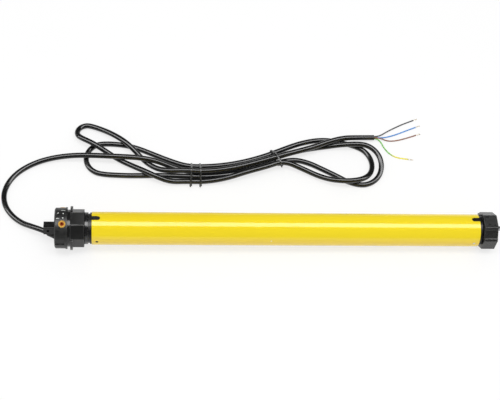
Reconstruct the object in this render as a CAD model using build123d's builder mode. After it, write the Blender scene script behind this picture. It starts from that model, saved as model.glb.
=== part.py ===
"""Tubular motor for a roller blind, with its mains cable bundled in a hank.

Millimetres. The origin is the centre of the square stub's end face, +X runs along
the motor to the drive wheel, +Y points away from the front and +Z is up. Angles
about the axis are in degrees from +Y towards +Z.
"""

import os
from math import acos, cos, hypot, pi, radians, sin, tan

from build123d import *

os.makedirs("parts", exist_ok=True)

# Motor tube
tube_radius = 17.5
tube_wall = 1.0
tube_length = 415.5
tube_inner_radius = tube_radius - tube_wall
running_clearance = 0.05
seat_clearance = 0.1
face_clearance = 0.3
overrun = 1.0

# Square stub that drops into the wall bracket
stub_side = 10.0
stub_length = 11.8
stub_angle = 164.0
stub_edge_radius = 0.8
stub_flange_thickness = 2.0
stub_pin_hole_radius = 1.5
stub_pin_hole_x = 4.7

# Head moulding
head_radius = 21.45
head_disc_length = 11.5
head_chamfer = 1.2
rim_radius = 22.1
rim_length = 1.8
groove_radius = 19.6
groove_length = 3.0
head_wall = 2.2
head_cavity_radius = 17.6
neck_radius = 16.3
neck_wall = 1.2
neck_length = 14.6
spigot_step_radius = 15.5
spigot_step_length = 5.9
spigot_radius = 13.0
spigot_wall = 2.0
spigot_length = 10.0
pocket_angle = 168.0
pocket_length = 9.4
pocket_width = 7.6
pocket_depth = 1.4

# Retaining ring behind the crown, and the plug in the front of the tube
retainer_length = 4.0
retainer_radius = 16.9
retainer_gap = 0.1
plug_ring_radius = 16.7
plug_ring_length = 1.45
plug_ring_gap = 0.35
plug_length = 16.0
plug_floor = 5.0
plug_wire_hole_radius = 7.0

# Slots, keys and pins at the ends of the tube
slot_width = 5.3
slot_length = 8.7
front_slot_angle = 83.0
rear_slot_angle = 79.0
key_clearance = 0.15
key_drop = 0.25
tube_pin_radius = 1.5
tube_pin_inset = 5.5
tube_pin_angle = 176.0
tube_pin_length = 3.4
tube_pin_recess = 0.2

# Stations along the axis at the head end
head_x = stub_length
rim_x = head_x + head_disc_length
groove_x = rim_x + rim_length
neck_x = groove_x + groove_length
step_x = neck_x + neck_length
spigot_x = step_x + spigot_step_length
tube_x = spigot_x + plug_ring_length + plug_ring_gap
tube_end_x = tube_x + tube_length
neck_inner_radius = neck_radius - neck_wall
spigot_inner_radius = spigot_radius - spigot_wall

# Crown that the roller tube turns round the head
crown_flats = 37.5
crown_axial_clearance = 0.1
ear_radius = 23.2
ear_length = 2.3
ear_sweep = 90.0
ear_centres = (22.5, 202.5)
crown_bearing_length = 3.3
crown_bore_radius = neck_radius + running_clearance
crown_edge_fillet = 0.5
octagon_sides = 8
octagon_turn = 180.0 / octagon_sides

# Limit gearing between the crown and the two counting wheels
pressure_angle = 25.0
tooth_thinning = 0.1
tip_share = 1.0
root_share = 1.25
limit_module = 0.5
crown_teeth = 68
pinion_teeth = 14
pinion_small_teeth = 12
counting_teeth = (42, 41)
pinion_angle = 240.0
pinion_face = 4.4
pinion_pivot_radius = 1.0
counting_face = 1.2
counting_gap = 0.35
cam_face = 1.0
cam_clearance = 0.2
cam_notch_width = 1.6
cam_notch_depth = 1.0
cam_notch_angle = 75.0
spindle_radius = 2.5
cage_inset = 1.3
cage_clearance = 0.15
cage_plate = 1.6
cage_hole_radius = 3.2
cage_hole_reach = 8.6
cage_hole_angle = 75.0
window_side_gap = 0.8

# Limit switches
switch_angles = (20.0, 130.0)
switch_length = 6.6
switch_width = 7.6
switch_thickness = 2.0
switch_inner_radius = 11.9
switch_pocket_depth = 1.6
plunger_radius = 0.4
plunger_length = 3.0
plunger_rest_gap = 0.15

# Limit screws in the head
limit_screw_x = 19.8
limit_screw_angles = (110.0, 20.0)
bush_radius = 3.7
bush_bore_radius = 2.1
bush_depth = 4.6
bush_stand = 0.15
screw_head_sink = 0.35
screw_length = 6.6
screw_tip_radius = 1.3
screw_tip_length = 2.6
hex_socket_flats = 2.5
hex_socket_depth = 2.0

# Cable gland
gland_angle = 254.0
gland_reach = 10.3
gland_radius = 4.5
gland_tip_radius = 3.6
gland_length = 8.0
gland_turn = 24.0
gland_flange_radius = 5.3
gland_flange_thickness = 1.2

# Fixing screws of the stub flange
stub_screw_radius = 1.25
stub_screw_head_radius = 2.2
stub_screw_head_height = 1.4
stub_screw_reach = 9.6
stub_screw_depth = 1.6
stub_screw_slot = 0.7
stub_screw_angles = (74.0, 164.0, 344.0)

# Capacitor and its holder
holder_x = 72.0
holder_length = 62.0
holder_floor = 2.0
capacitor_radius = 12.6
capacitor_length = 52.0
capacitor_edge_fillet = 1.2
capacitor_lead_radius = 0.9
capacitor_lead_length = 5.0
capacitor_lead_spread = 4.0

# Electric motor
shield_thickness = 10.0
front_shield_x = 140.0
shield_hub_radius = 7.0
shield_wall = 2.0
shield_web = 3.0
shield_holes = 4
shield_hole_radius = 1.8
shield_hole_reach = 11.0
bush_outer_radius = 5.0
rotor_bush_length = 7.0
shaft_radius = 3.0
shaft_clearance = 0.03
winding_gap = 1.0
winding_overhang = 13.0
winding_outer_radius = 15.2
winding_inner_radius = 11.2
stator_length = 90.0
stator_bore_radius = 10.4
stator_slots = 12
stator_slot_radius = 1.5
stator_slot_pitch_radius = 13.2
slot_fill_clearance = 0.1
rotor_radius = 10.1
rotor_inset = 2.0
end_ring_radius = 8.6
end_ring_length = 4.0

# Brake
brake_gap = 2.0
brake_pot_length = 20.0
brake_pot_wall = 2.5
brake_core_radius = 8.5
brake_core_bore = 4.5
brake_coil_inset = 1.0
brake_travel = 0.5
brake_stop_gap = 0.2
brake_air_gap = brake_travel + brake_stop_gap
armature_thickness = 3.0
armature_radius = 15.0
brake_rest_gap = 0.1
brake_disc_thickness = 3.0
brake_disc_radius = 13.5
brake_hub_radius = 5.5
brake_hub_length = 3.0
spring_radius = 6.4
spring_wire_radius = 0.45
spring_turns = 5
spring_seat_depth = 8.0
spring_seat_gap = 0.4

# Planetary gearbox
gear_module = 0.55
sun_teeth = 12
planet_teeth = 18
ring_teeth = 48
planet_count = 3
stage_count = 3
gear_face = 18.0
stage_pitch = 28.0
stage_lead = 4.0
carrier_plate = 4.4
carrier_radius = 12.2
carrier_gap = 0.4
planet_pin_radius = 1.6
planet_bore_clearance = 0.03
pin_head_radius = 2.4
pin_head_height = 0.8
pin_head_gap = 0.4
gearbox_gap = 4.4
gearbox_length = 96.0
gearbox_cap_length = 8.0
output_shaft_radius = 6.0

# Rear plug, output bush and drive wheel
rear_plug_length = 28.0
rear_collar_length = 3.2
rear_collar_radius = 15.0
rear_plug_bore_radius = 7.0
output_bush_length = 8.0
output_bush_radius = 9.0
wheel_length = 15.0
wheel_gap = 4.1
wheel_flats = 37.5
wheel_wall = 2.4
wheel_web = 3.0
wheel_hub_radius = 9.0
wheel_rib_width = 1.6
wheel_edge_chamfer = 0.5
wheel_seam_width = 9.6
wheel_seam_depth = 1.0
tongue_length = 3.0
tongue_width = 7.0
tongue_thickness = 2.0
tongue_angle = 45.0
seam_angle = 135.0
drive_flats = 10.0
shaft_tip_radius = 4.8
shaft_tip_length = 6.5
shaft_tip_angle = 33.0
clip_radius = 8.0
clip_thickness = 1.0
clip_groove_depth = 0.8
clip_inset = 2.4
clip_mouth = 7.0

# Mains cable, its stripped cores and the wire ties round the hank's waist
cable_radius = 3.0
strand_pitch = 6.6
tie_lift = 1.4
over = 7.4
waist_left = (150.0, 81.5)
waist_right = (262.0, 104.0)
waist_sag = 8.0
gland_run = 10.0
arc_share = 0.45
gap_step = 0.75
gap_skip_diameters = 2.5
core_radius = 0.75
core_spread = 1.2
core_start_run = 6.5
core_tip_radius = 0.45
core_tip_length = 6.5
tie_thickness = 0.9
tie_width = 2.0
tie_gap = 0.3
tie_twist_radius = 1.4
tie_twist_length = 2.2
tie_top_lift = 7.0
tie_side_lift = 5.9

# Limit gearing worked out from its teeth
pinion_reach = limit_module * (crown_teeth - pinion_teeth) / 2
pinion_tip_radius = limit_module * (pinion_teeth / 2 + tip_share)
small_tip_radius = limit_module * (pinion_small_teeth / 2 + tip_share)
cam_radius = pinion_reach - small_tip_radius - cam_clearance
crown_root_radius = limit_module * (crown_teeth / 2 + root_share)
crown_x = neck_x + crown_axial_clearance
crown_end_x = step_x - crown_axial_clearance
window_x = crown_x + crown_bearing_length
crown_tooth_x = window_x + counting_gap + 2 * (counting_face + cam_face + counting_gap) + counting_gap
cage_x = neck_x + cage_inset
cage_face_x = cage_x + cage_plate
cage_rear_x = step_x + cage_clearance
wheel_pitch_x = counting_face + cam_face + counting_gap

# Stations of the inner pieces along the axis
stator_x = front_shield_x + shield_thickness + winding_gap + winding_overhang
stator_end_x = stator_x + stator_length
rear_shield_x = stator_end_x + winding_overhang + winding_gap
brake_x = rear_shield_x + shield_thickness + brake_gap
armature_x = brake_x + brake_pot_length + brake_air_gap
brake_disc_x = armature_x + armature_thickness + brake_rest_gap
gearbox_x = brake_disc_x + brake_disc_thickness + gearbox_gap
gearbox_end_x = gearbox_x + gearbox_length
wheel_x = tube_end_x + wheel_gap
wheel_end_x = wheel_x + wheel_length
rear_plug_x = tube_end_x - rear_plug_length
collar_end_x = tube_end_x + rear_collar_length

# Surface that the motor lies on, touched by the head's rim and one flat of the wheel
rest_head_x = (rim_x + groove_x) / 2
rest_wheel_x = (wheel_x + wheel_end_x) / 2
rest_slope = (rim_radius - wheel_flats / 2) / (rest_wheel_x - rest_head_x)


def turned(angle):
    """Unit direction across the axis at an angle from +Y towards +Z."""
    return (0.0, cos(radians(angle)), sin(radians(angle)))


def place(x, radius, angle):
    """Point beside the axis."""
    across = turned(angle)
    return (x, radius * across[1], radius * across[2])


def side_plane(x, radius, angle):
    """Plane that faces outward at a place beside the axis, with its x along the axis."""
    return Plane(origin=place(x, radius, angle), x_dir=(1, 0, 0), z_dir=turned(angle))


def gear_plane(x, radius=0.0, angle=0.0):
    """Plane across the axis at a gear's own centre."""
    return Plane(origin=place(x, radius, angle), x_dir=(0, 1, 0), z_dir=(1, 0, 0))


def turned_face(*points):
    """Closed profile in the plane of the axis, in (station, radius) pairs."""
    with BuildLine() as outline:
        Polyline(*points, close=True)
    make_face(outline.edges())


def station(x):
    """Plane across the axis, with its x along +Y and its y along +Z."""
    return Plane.YZ.offset(x)


def polar(radius, angle):
    return (radius * cos(angle), radius * sin(angle))


def gear_face_outline(teeth, module, thinning, phase=0.0, hollow=False):
    """Involute outline: solid teeth, or with hollow=True the space inside a ring gear.

    A tooth of the outline is centred on the phase angle, in degrees.
    """
    pitch_radius = module * teeth / 2
    base_radius = pitch_radius * cos(radians(pressure_angle))
    outer_share = root_share if hollow else tip_share
    inner_share = tip_share if hollow else root_share
    tip_radius = pitch_radius + outer_share * module
    root_radius = pitch_radius - inner_share * module
    flank_start = max(base_radius, root_radius)
    slack = thinning / 2 if hollow else -thinning / 2
    pitch_half = pi / (2 * teeth) + slack / pitch_radius

    def half_angle(radius):
        lean = acos(base_radius / radius)
        pitch_lean = radians(pressure_angle)
        involute = tan(lean) - lean
        return pitch_half + tan(pitch_lean) - pitch_lean - involute

    middle_radius = (flank_start + tip_radius) / 2
    start_half = half_angle(flank_start)
    middle_half = half_angle(middle_radius)
    tip_half = half_angle(tip_radius)
    step = 2 * pi / teeth
    first = radians(phase)
    with BuildLine() as outline:
        for tooth in range(teeth):
            middle = first + tooth * step
            following = first + ((tooth + 1) % teeth) * step
            rise = [
                polar(flank_start, middle - start_half),
                polar(middle_radius, middle - middle_half),
                polar(tip_radius, middle - tip_half),
            ]
            fall = [
                polar(tip_radius, middle + tip_half),
                polar(middle_radius, middle + middle_half),
                polar(flank_start, middle + start_half),
            ]
            foot = polar(root_radius, middle + start_half)
            next_foot = polar(root_radius, following - start_half)
            ThreePointArc(*rise)
            Line(rise[-1], fall[0])
            ThreePointArc(*fall)
            if root_radius < flank_start:
                Line(fall[-1], foot)
                Line(foot, next_foot)
                Line(next_foot, polar(flank_start, following - start_half))
            else:
                Line(fall[-1], polar(flank_start, following - start_half))
    make_face(outline.edges())


def table_height(x):
    return (x - rest_head_x) * rest_slope - rim_radius


def laid(radius, x, y, lift=0.0):
    """Centre of a cord that lies on the table at a place, or is lifted off it."""
    return Vector(x, y, table_height(x) + radius + lift)


def waist_point(share, slot, lift=0.0):
    """Place in the hank's waist: a share of its length and a slot across it."""
    run_x = waist_right[0] - waist_left[0]
    run_y = waist_right[1] - waist_left[1]
    rise = run_y - 4 * waist_sag * (1 - 2 * share)
    size = hypot(run_x, rise)
    x = waist_left[0] + run_x * share - rise / size * slot * strand_pitch
    y = waist_left[1] + run_y * share - 4 * waist_sag * share * (1 - share)
    y += run_x / size * slot * strand_pitch
    return laid(cable_radius, x, y, lift + tie_lift)


def waist_strand(shares, slots, lifts=(0.0,) * 6):
    return [waist_point(*place) for place in zip(shares, slots, lifts)]


def loop_bend(centre, radius, start, sweep_angle, lifts):
    """Round end of a loop: corners of the polygon about its arc, one for each lift."""
    step = sweep_angle / len(lifts)
    reach = radius / cos(radians(step / 2))
    corners = []
    for index, lift in enumerate(lifts):
        turn = radians(start + (index + 1 / 2) * step)
        corners.append(
            laid(cable_radius, centre[0] + reach * cos(turn), centre[1] + reach * sin(turn), lift)
        )
    return corners


def free_run(*places):
    return [laid(cable_radius, *point) for point in places]


def bend_radii(points):
    """Largest even radius at each corner of a route."""
    radii = []
    for before, corner, after in zip(points, points[1:], points[2:]):
        run_in = corner - before
        run_out = after - corner
        turn = radians(run_in.get_angle(run_out))
        radii.append(arc_share * min(run_in.length, run_out.length) / tan(turn / 2))
    return radii


def route_line(points):
    with BuildLine() as line:
        FilletPolyline(*points, radius=bend_radii(points))
    return line.wire()


def least_gap(wire, radius):
    """Least distance between surfaces of a tube, over stretches that aren't neighbours."""
    count = int(wire.length / gap_step)
    samples = [tuple(wire.position_at(index / count)) for index in range(count + 1)]
    skip = int(gap_skip_diameters * 2 * radius / gap_step)
    least = wire.length
    for index, one in enumerate(samples):
        for other in samples[index + skip :]:
            reach = hypot(one[0] - other[0], one[1] - other[1], one[2] - other[2])
            least = min(least, reach)
    return least - 2 * radius


def report_tube(name, points, wire, radius, tube):
    """Prints how a tube's volume compares with its section times its length."""
    volume_share = tube.volume / (pi * radius**2 * wire.length)
    print(name, "length", round(wire.length, 1), "volume share", round(volume_share, 4))
    print(name, "corner radii", [round(bend, 1) for bend in bend_radii(points)])


def save(piece, name):
    piece.part.label = name
    export_step(piece.part, f"parts/{name}.step")


# Head moulding: disc, rim, groove, neck under the crown and spigot in the tube plug
with BuildPart() as head_body:
    with BuildSketch(Plane.XY):
        turned_face(
            (head_x, 0),
            (head_x, head_radius),
            (rim_x, head_radius),
            (rim_x, rim_radius),
            (groove_x, rim_radius),
            (groove_x, groove_radius),
            (neck_x, groove_radius),
            (neck_x, neck_radius),
            (step_x, neck_radius),
            (step_x, spigot_step_radius),
            (spigot_x, spigot_step_radius),
            (spigot_x, spigot_radius),
            (spigot_x + spigot_length, spigot_radius),
            (spigot_x + spigot_length, spigot_inner_radius),
            (step_x + head_wall, spigot_inner_radius),
            (step_x + head_wall, neck_inner_radius),
            (groove_x, neck_inner_radius),
            (groove_x, head_cavity_radius),
            (head_x + head_wall, head_cavity_radius),
            (head_x + head_wall, 0),
        )
    revolve(axis=Axis.X)
    chamfer(
        head_body.edges()
        .filter_by(GeomType.CIRCLE)
        .group_by(Axis.X)[0]
        .sort_by(SortBy.RADIUS)[-1],
        head_chamfer,
    )
    # Square hole for the stub
    with BuildSketch(station(head_x)):
        Rectangle(
            stub_side + 2 * seat_clearance,
            stub_side + 2 * seat_clearance,
            rotation=stub_angle,
        )
    extrude(amount=head_wall, mode=Mode.SUBTRACT)
    # Round hole for the cable gland
    with BuildSketch(station(head_x)):
        with Locations(place(0, gland_reach, gland_angle)[1:]):
            Circle(gland_radius + seat_clearance)
    extrude(amount=head_wall, mode=Mode.SUBTRACT)
    # Screw holes of the stub flange
    with BuildSketch(station(head_x + head_wall)):
        for angle in stub_screw_angles:
            with Locations(place(0, stub_screw_reach, angle)[1:]):
                Circle(stub_screw_radius)
    extrude(amount=-stub_screw_depth, mode=Mode.SUBTRACT)
    # Stepped holes for the limit bushes
    for angle in limit_screw_angles:
        with BuildSketch(side_plane(limit_screw_x, head_radius + overrun, angle)):
            Circle(bush_radius + seat_clearance)
        extrude(amount=-bush_depth - overrun, mode=Mode.SUBTRACT)
    # Sunk panel on the disc
    with BuildSketch(side_plane((head_x + rim_x) / 2, head_radius - pocket_depth, pocket_angle)):
        Rectangle(pocket_length, pocket_width)
    extrude(amount=pocket_depth + overrun, mode=Mode.SUBTRACT)
    # Window that lets the limit pinion through the neck to the crown
    with BuildSketch(side_plane((window_x + step_x) / 2, spindle_radius, pinion_angle)):
        Rectangle(step_x - window_x, 2 * (pinion_tip_radius + window_side_gap))
    extrude(amount=neck_radius, mode=Mode.SUBTRACT)
save(head_body, "head_body")

# Square steel stub with its flange behind the head's front wall
with BuildPart() as bracket_stub:
    with BuildSketch(Plane.YZ):
        RectangleRounded(stub_side, stub_side, stub_edge_radius, rotation=stub_angle)
    extrude(amount=head_x + head_wall)
    with BuildSketch(station(head_x + head_wall)):
        Circle(stub_screw_reach + stub_screw_head_radius)
        with Locations(place(0, gland_reach, gland_angle)[1:]):
            Circle(gland_flange_radius + face_clearance, mode=Mode.SUBTRACT)
        for angle in stub_screw_angles:
            with Locations(place(0, stub_screw_reach, angle)[1:]):
                Circle(stub_screw_radius + seat_clearance, mode=Mode.SUBTRACT)
    extrude(amount=stub_flange_thickness)
    with BuildSketch(side_plane(stub_pin_hole_x, 0, stub_angle)):
        Circle(stub_pin_hole_radius)
    extrude(amount=stub_side, both=True, mode=Mode.SUBTRACT)
save(bracket_stub, "bracket_stub")

# Slotted screws that hold the stub's flange to the front wall
with BuildPart() as stub_screws:
    flange_face_x = head_x + head_wall + stub_flange_thickness
    with BuildSketch(station(flange_face_x)):
        for angle in stub_screw_angles:
            with Locations(place(0, stub_screw_reach, angle)[1:]):
                Circle(stub_screw_head_radius)
    extrude(amount=stub_screw_head_height)
    with BuildSketch(station(flange_face_x)):
        for angle in stub_screw_angles:
            with Locations(place(0, stub_screw_reach, angle)[1:]):
                Circle(stub_screw_radius)
    extrude(amount=-stub_flange_thickness - stub_screw_depth)
    with BuildSketch(station(flange_face_x + stub_screw_head_height)):
        for angle in stub_screw_angles:
            with Locations(place(0, stub_screw_reach, angle)[1:]):
                Rectangle(2 * stub_screw_head_radius, stub_screw_slot)
    extrude(amount=-stub_screw_slot, mode=Mode.SUBTRACT)
save(stub_screws, "stub_screws")

# Cable gland: flange inside the head, plug in its wall, slanted boot outside
gland_foot = Vector(*place(head_x, gland_reach, gland_angle))
cable_exit_way = Vector(-cos(radians(gland_turn)), sin(radians(gland_turn)), 0)
gland_tip = gland_foot + cable_exit_way * gland_length
with BuildPart() as cable_gland:
    with BuildSketch(station(head_x)):
        with Locations((gland_foot.Y, gland_foot.Z)):
            Circle(gland_radius)
    extrude(amount=head_wall)
    with BuildSketch(station(head_x + head_wall)):
        with Locations((gland_foot.Y, gland_foot.Z)):
            Circle(gland_flange_radius)
    extrude(amount=gland_flange_thickness)
    with BuildSketch(station(head_x)):
        with Locations((gland_foot.Y, gland_foot.Z)):
            Circle(gland_radius)
    with BuildSketch(Plane(origin=gland_tip, x_dir=(0, 0, 1), z_dir=-cable_exit_way)):
        Circle(gland_tip_radius)
    loft()
save(cable_gland, "cable_gland")

# Limit screws with hex sockets, each in a coloured bush
with BuildPart() as limit_bushes:
    for angle in limit_screw_angles:
        seat_radius = head_radius - bush_depth
        with BuildSketch(side_plane(limit_screw_x, seat_radius, angle)):
            Circle(bush_radius)
            Circle(bush_bore_radius, mode=Mode.SUBTRACT)
        extrude(amount=bush_depth + bush_stand)
save(limit_bushes, "limit_bushes")

limit_names = ("limit_screw_up", "limit_screw_down")
for name, angle in zip(limit_names, limit_screw_angles):
    head_top = head_radius + bush_stand - screw_head_sink
    with BuildPart() as limit_screw:
        with BuildSketch(side_plane(limit_screw_x, head_top, angle)):
            Circle(bush_bore_radius - running_clearance)
        extrude(amount=-screw_length)
        with BuildSketch(side_plane(limit_screw_x, head_top - screw_length, angle)):
            Circle(screw_tip_radius)
        extrude(amount=-screw_tip_length)
        with BuildSketch(side_plane(limit_screw_x, head_top, angle)):
            RegularPolygon(hex_socket_flats / 2, 6, major_radius=False)
        extrude(amount=-hex_socket_depth, mode=Mode.SUBTRACT)
    save(limit_screw, name)

# Crown: two ears, octagonal sleeve, plain bearing and internal teeth
with BuildPart() as crown:
    with BuildSketch(station(crown_x)):
        RegularPolygon(crown_flats / 2, octagon_sides, major_radius=False, rotation=octagon_turn)
    extrude(amount=crown_end_x - crown_x)
    fillet(crown.faces().sort_by(Axis.X)[-1].edges(), crown_edge_fillet)
    for centre in ear_centres:
        with BuildSketch(station(crown_x)):
            with BuildLine():
                CenterArc((0, 0), ear_radius, centre - ear_sweep / 2, ear_sweep)
                Line((0, 0), polar(ear_radius, radians(centre - ear_sweep / 2)))
                Line((0, 0), polar(ear_radius, radians(centre + ear_sweep / 2)))
            make_face()
        extrude(amount=ear_length)
    with BuildSketch(station(crown_x)):
        Circle(crown_bore_radius)
    extrude(amount=crown_bearing_length, mode=Mode.SUBTRACT)
    with BuildSketch(station(window_x)):
        Circle(crown_root_radius)
    extrude(amount=crown_tooth_x - window_x, mode=Mode.SUBTRACT)
    with BuildSketch(station(crown_tooth_x)):
        gear_face_outline(crown_teeth, limit_module, tooth_thinning, pinion_angle, hollow=True)
    extrude(amount=crown_end_x - crown_tooth_x, mode=Mode.SUBTRACT)
save(crown, "crown")

# Ring that keeps the crown on the neck
with BuildPart() as crown_retainer:
    with BuildSketch(Plane.XY):
        turned_face(
            (step_x + retainer_gap, spigot_step_radius),
            (step_x + retainer_gap, retainer_radius),
            (step_x + retainer_length, retainer_radius),
            (step_x + retainer_length, spigot_step_radius),
        )
    revolve(axis=Axis.X)
    fillet(
        crown_retainer.edges().filter_by(GeomType.CIRCLE).sort_by(SortBy.RADIUS)[-2:],
        crown_edge_fillet,
    )
save(crown_retainer, "crown_retainer")

# Plug in the front of the tube, with a key in the tube's slot
with BuildPart() as front_plug:
    plug_end_x = tube_x + plug_length
    plug_radius = tube_inner_radius - seat_clearance
    with BuildSketch(Plane.XY):
        turned_face(
            (spigot_x, spigot_radius + seat_clearance),
            (spigot_x, plug_ring_radius),
            (spigot_x + plug_ring_length, plug_ring_radius),
            (spigot_x + plug_ring_length, plug_radius),
            (plug_end_x, plug_radius),
            (plug_end_x, plug_wire_hole_radius),
            (plug_end_x - plug_floor, plug_wire_hole_radius),
            (plug_end_x - plug_floor, spigot_radius + seat_clearance),
        )
    revolve(axis=Axis.X)
    key_length = slot_length - slot_width / 2 - key_clearance
    with BuildSketch(side_plane(tube_x + key_length / 2, spigot_radius + tube_wall, front_slot_angle)):
        Rectangle(key_length, slot_width - 2 * key_clearance)
    extrude(amount=tube_radius - key_drop - spigot_radius - tube_wall)
    for angle in (tube_pin_angle, tube_pin_angle + 180):
        with BuildSketch(side_plane(tube_x + tube_pin_inset, tube_radius, angle)):
            Circle(tube_pin_radius)
        extrude(amount=-tube_pin_length, mode=Mode.SUBTRACT)
save(front_plug, "front_plug")

# Painted steel tube with an open slot and two pin holes at each end
with BuildPart() as motor_tube:
    with BuildSketch(station(tube_x)):
        Circle(tube_radius)
        Circle(tube_inner_radius, mode=Mode.SUBTRACT)
    extrude(amount=tube_length)
    slot_centres = (
        (tube_x, slot_length, front_slot_angle),
        (tube_end_x, -slot_length, rear_slot_angle),
    )
    for end_x, reach, angle in slot_centres:
        round_x = end_x + reach * (1 - slot_width / (2 * slot_length))
        with BuildSketch(side_plane(end_x, tube_inner_radius - tube_wall, angle)):
            with Locations(((round_x - end_x) / 2, 0)):
                Rectangle(abs(round_x - end_x), slot_width)
            with Locations((round_x - end_x, 0)):
                Circle(slot_width / 2)
        extrude(amount=3 * tube_wall, mode=Mode.SUBTRACT)
    for end_x in (tube_x + tube_pin_inset, tube_end_x - tube_pin_inset):
        for angle in (tube_pin_angle, tube_pin_angle + 180):
            with BuildSketch(side_plane(end_x, tube_inner_radius - tube_wall, angle)):
                Circle(tube_pin_radius)
            extrude(amount=3 * tube_wall, mode=Mode.SUBTRACT)
save(motor_tube, "motor_tube")

# Pins that fix the tube to its two plugs
with BuildPart() as tube_pins:
    for end_x in (tube_x + tube_pin_inset, tube_end_x - tube_pin_inset):
        for angle in (tube_pin_angle, tube_pin_angle + 180):
            with BuildSketch(side_plane(end_x, tube_radius - tube_pin_recess, angle)):
                Circle(tube_pin_radius)
            extrude(amount=tube_pin_recess - tube_pin_length)
save(tube_pins, "tube_pins")

# Cage of the limit gearing: two plates joined by the counting wheels' spindle
with BuildPart() as limit_cage:
    for plate_x in (cage_x, cage_rear_x):
        with BuildSketch(station(plate_x)):
            Circle(neck_inner_radius - cage_clearance)
            with Locations(place(0, pinion_reach, pinion_angle)[1:]):
                Circle(pinion_pivot_radius + running_clearance, mode=Mode.SUBTRACT)
            for side in (0, 180):
                with Locations(place(0, cage_hole_reach, cage_hole_angle + side)[1:]):
                    Circle(cage_hole_radius, mode=Mode.SUBTRACT)
        extrude(amount=cage_plate)
    with BuildSketch(station(cage_face_x)):
        Circle(spindle_radius)
    extrude(amount=cage_rear_x - cage_face_x)
save(limit_cage, "limit_cage")

# Pinion: the wide end meshes with the crown, the narrow end with both counting wheels
with BuildPart() as limit_pinion:
    with BuildSketch(gear_plane(cage_x + cage_clearance, pinion_reach, pinion_angle)):
        Circle(pinion_pivot_radius)
    extrude(amount=cage_rear_x + cage_plate - cage_x - 2 * cage_clearance)
    small_x = window_x + counting_gap
    with BuildSketch(gear_plane(small_x, pinion_reach, pinion_angle)):
        gear_face_outline(pinion_small_teeth, limit_module, tooth_thinning, pinion_angle)
    extrude(amount=crown_tooth_x - small_x)
    with BuildSketch(gear_plane(crown_tooth_x + counting_gap, pinion_reach, pinion_angle)):
        gear_face_outline(pinion_teeth, limit_module, tooth_thinning, pinion_angle)
    extrude(amount=pinion_face)
save(limit_pinion, "limit_pinion")

# Counting wheels, one tooth apart, each with a notched cam for its switch
counting_names = ("counting_wheel_up", "counting_wheel_down")
for index, (name, teeth) in enumerate(zip(counting_names, counting_teeth)):
    wheel_face_x = window_x + counting_gap + index * wheel_pitch_x
    with BuildPart() as counting_wheel:
        with BuildSketch(station(wheel_face_x)):
            gear_face_outline(
                teeth, limit_module, tooth_thinning, pinion_angle + 180.0 / teeth
            )
        extrude(amount=counting_face)
        with BuildSketch(station(wheel_face_x + counting_face)):
            Circle(cam_radius)
            with Locations(place(0, cam_radius, cam_notch_angle)[1:]):
                Rectangle(
                    2 * cam_notch_depth,
                    cam_notch_width,
                    rotation=cam_notch_angle,
                    mode=Mode.SUBTRACT,
                )
        extrude(amount=cam_face)
        with BuildSketch(station(wheel_face_x)):
            Circle(spindle_radius + running_clearance)
        extrude(amount=counting_face + cam_face, mode=Mode.SUBTRACT)
    save(counting_wheel, name)

# Two limit switches and their plungers, which ride just off the cams
plunger_names = ("switch_plunger_up", "switch_plunger_down")
with BuildPart() as limit_switches:
    for index, angle in enumerate(switch_angles):
        switch_x = cage_face_x + switch_length / 2
        with BuildSketch(side_plane(switch_x, switch_inner_radius, angle)):
            Rectangle(switch_length, switch_width)
        extrude(amount=switch_thickness)
        cam_x = window_x + counting_gap + index * wheel_pitch_x + counting_face + cam_face / 2
        with BuildSketch(side_plane(cam_x, switch_inner_radius, angle)):
            Circle(plunger_radius + running_clearance)
        extrude(amount=switch_pocket_depth, mode=Mode.SUBTRACT)
save(limit_switches, "limit_switches")
for index, (name, angle) in enumerate(zip(plunger_names, switch_angles)):
    cam_x = window_x + counting_gap + index * wheel_pitch_x + counting_face + cam_face / 2
    with BuildPart() as switch_plunger:
        with BuildSketch(side_plane(cam_x, cam_radius + plunger_rest_gap, angle)):
            Circle(plunger_radius)
        extrude(amount=plunger_length)
    save(switch_plunger, name)

# Capacitor in its insulating cup
with BuildPart() as capacitor_holder:
    with BuildSketch(station(holder_x)):
        Circle(tube_inner_radius - seat_clearance)
    extrude(amount=holder_length)
    with BuildSketch(station(holder_x + holder_floor)):
        Circle(capacitor_radius + seat_clearance)
    extrude(amount=holder_length - holder_floor, mode=Mode.SUBTRACT)
    with BuildSketch(station(holder_x)):
        with Locations((capacitor_lead_spread, 0), (-capacitor_lead_spread, 0)):
            Circle(capacitor_lead_radius + seat_clearance)
    extrude(amount=holder_floor, mode=Mode.SUBTRACT)
save(capacitor_holder, "capacitor_holder")

with BuildPart() as capacitor:
    with BuildSketch(station(holder_x + holder_floor)):
        Circle(capacitor_radius)
    extrude(amount=capacitor_length)
    fillet(capacitor.edges().filter_by(GeomType.CIRCLE), capacitor_edge_fillet)
    with BuildSketch(station(holder_x + holder_floor)):
        with Locations((capacitor_lead_spread, 0), (-capacitor_lead_spread, 0)):
            Circle(capacitor_lead_radius)
    extrude(amount=-capacitor_lead_length)
save(capacitor, "capacitor")

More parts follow.
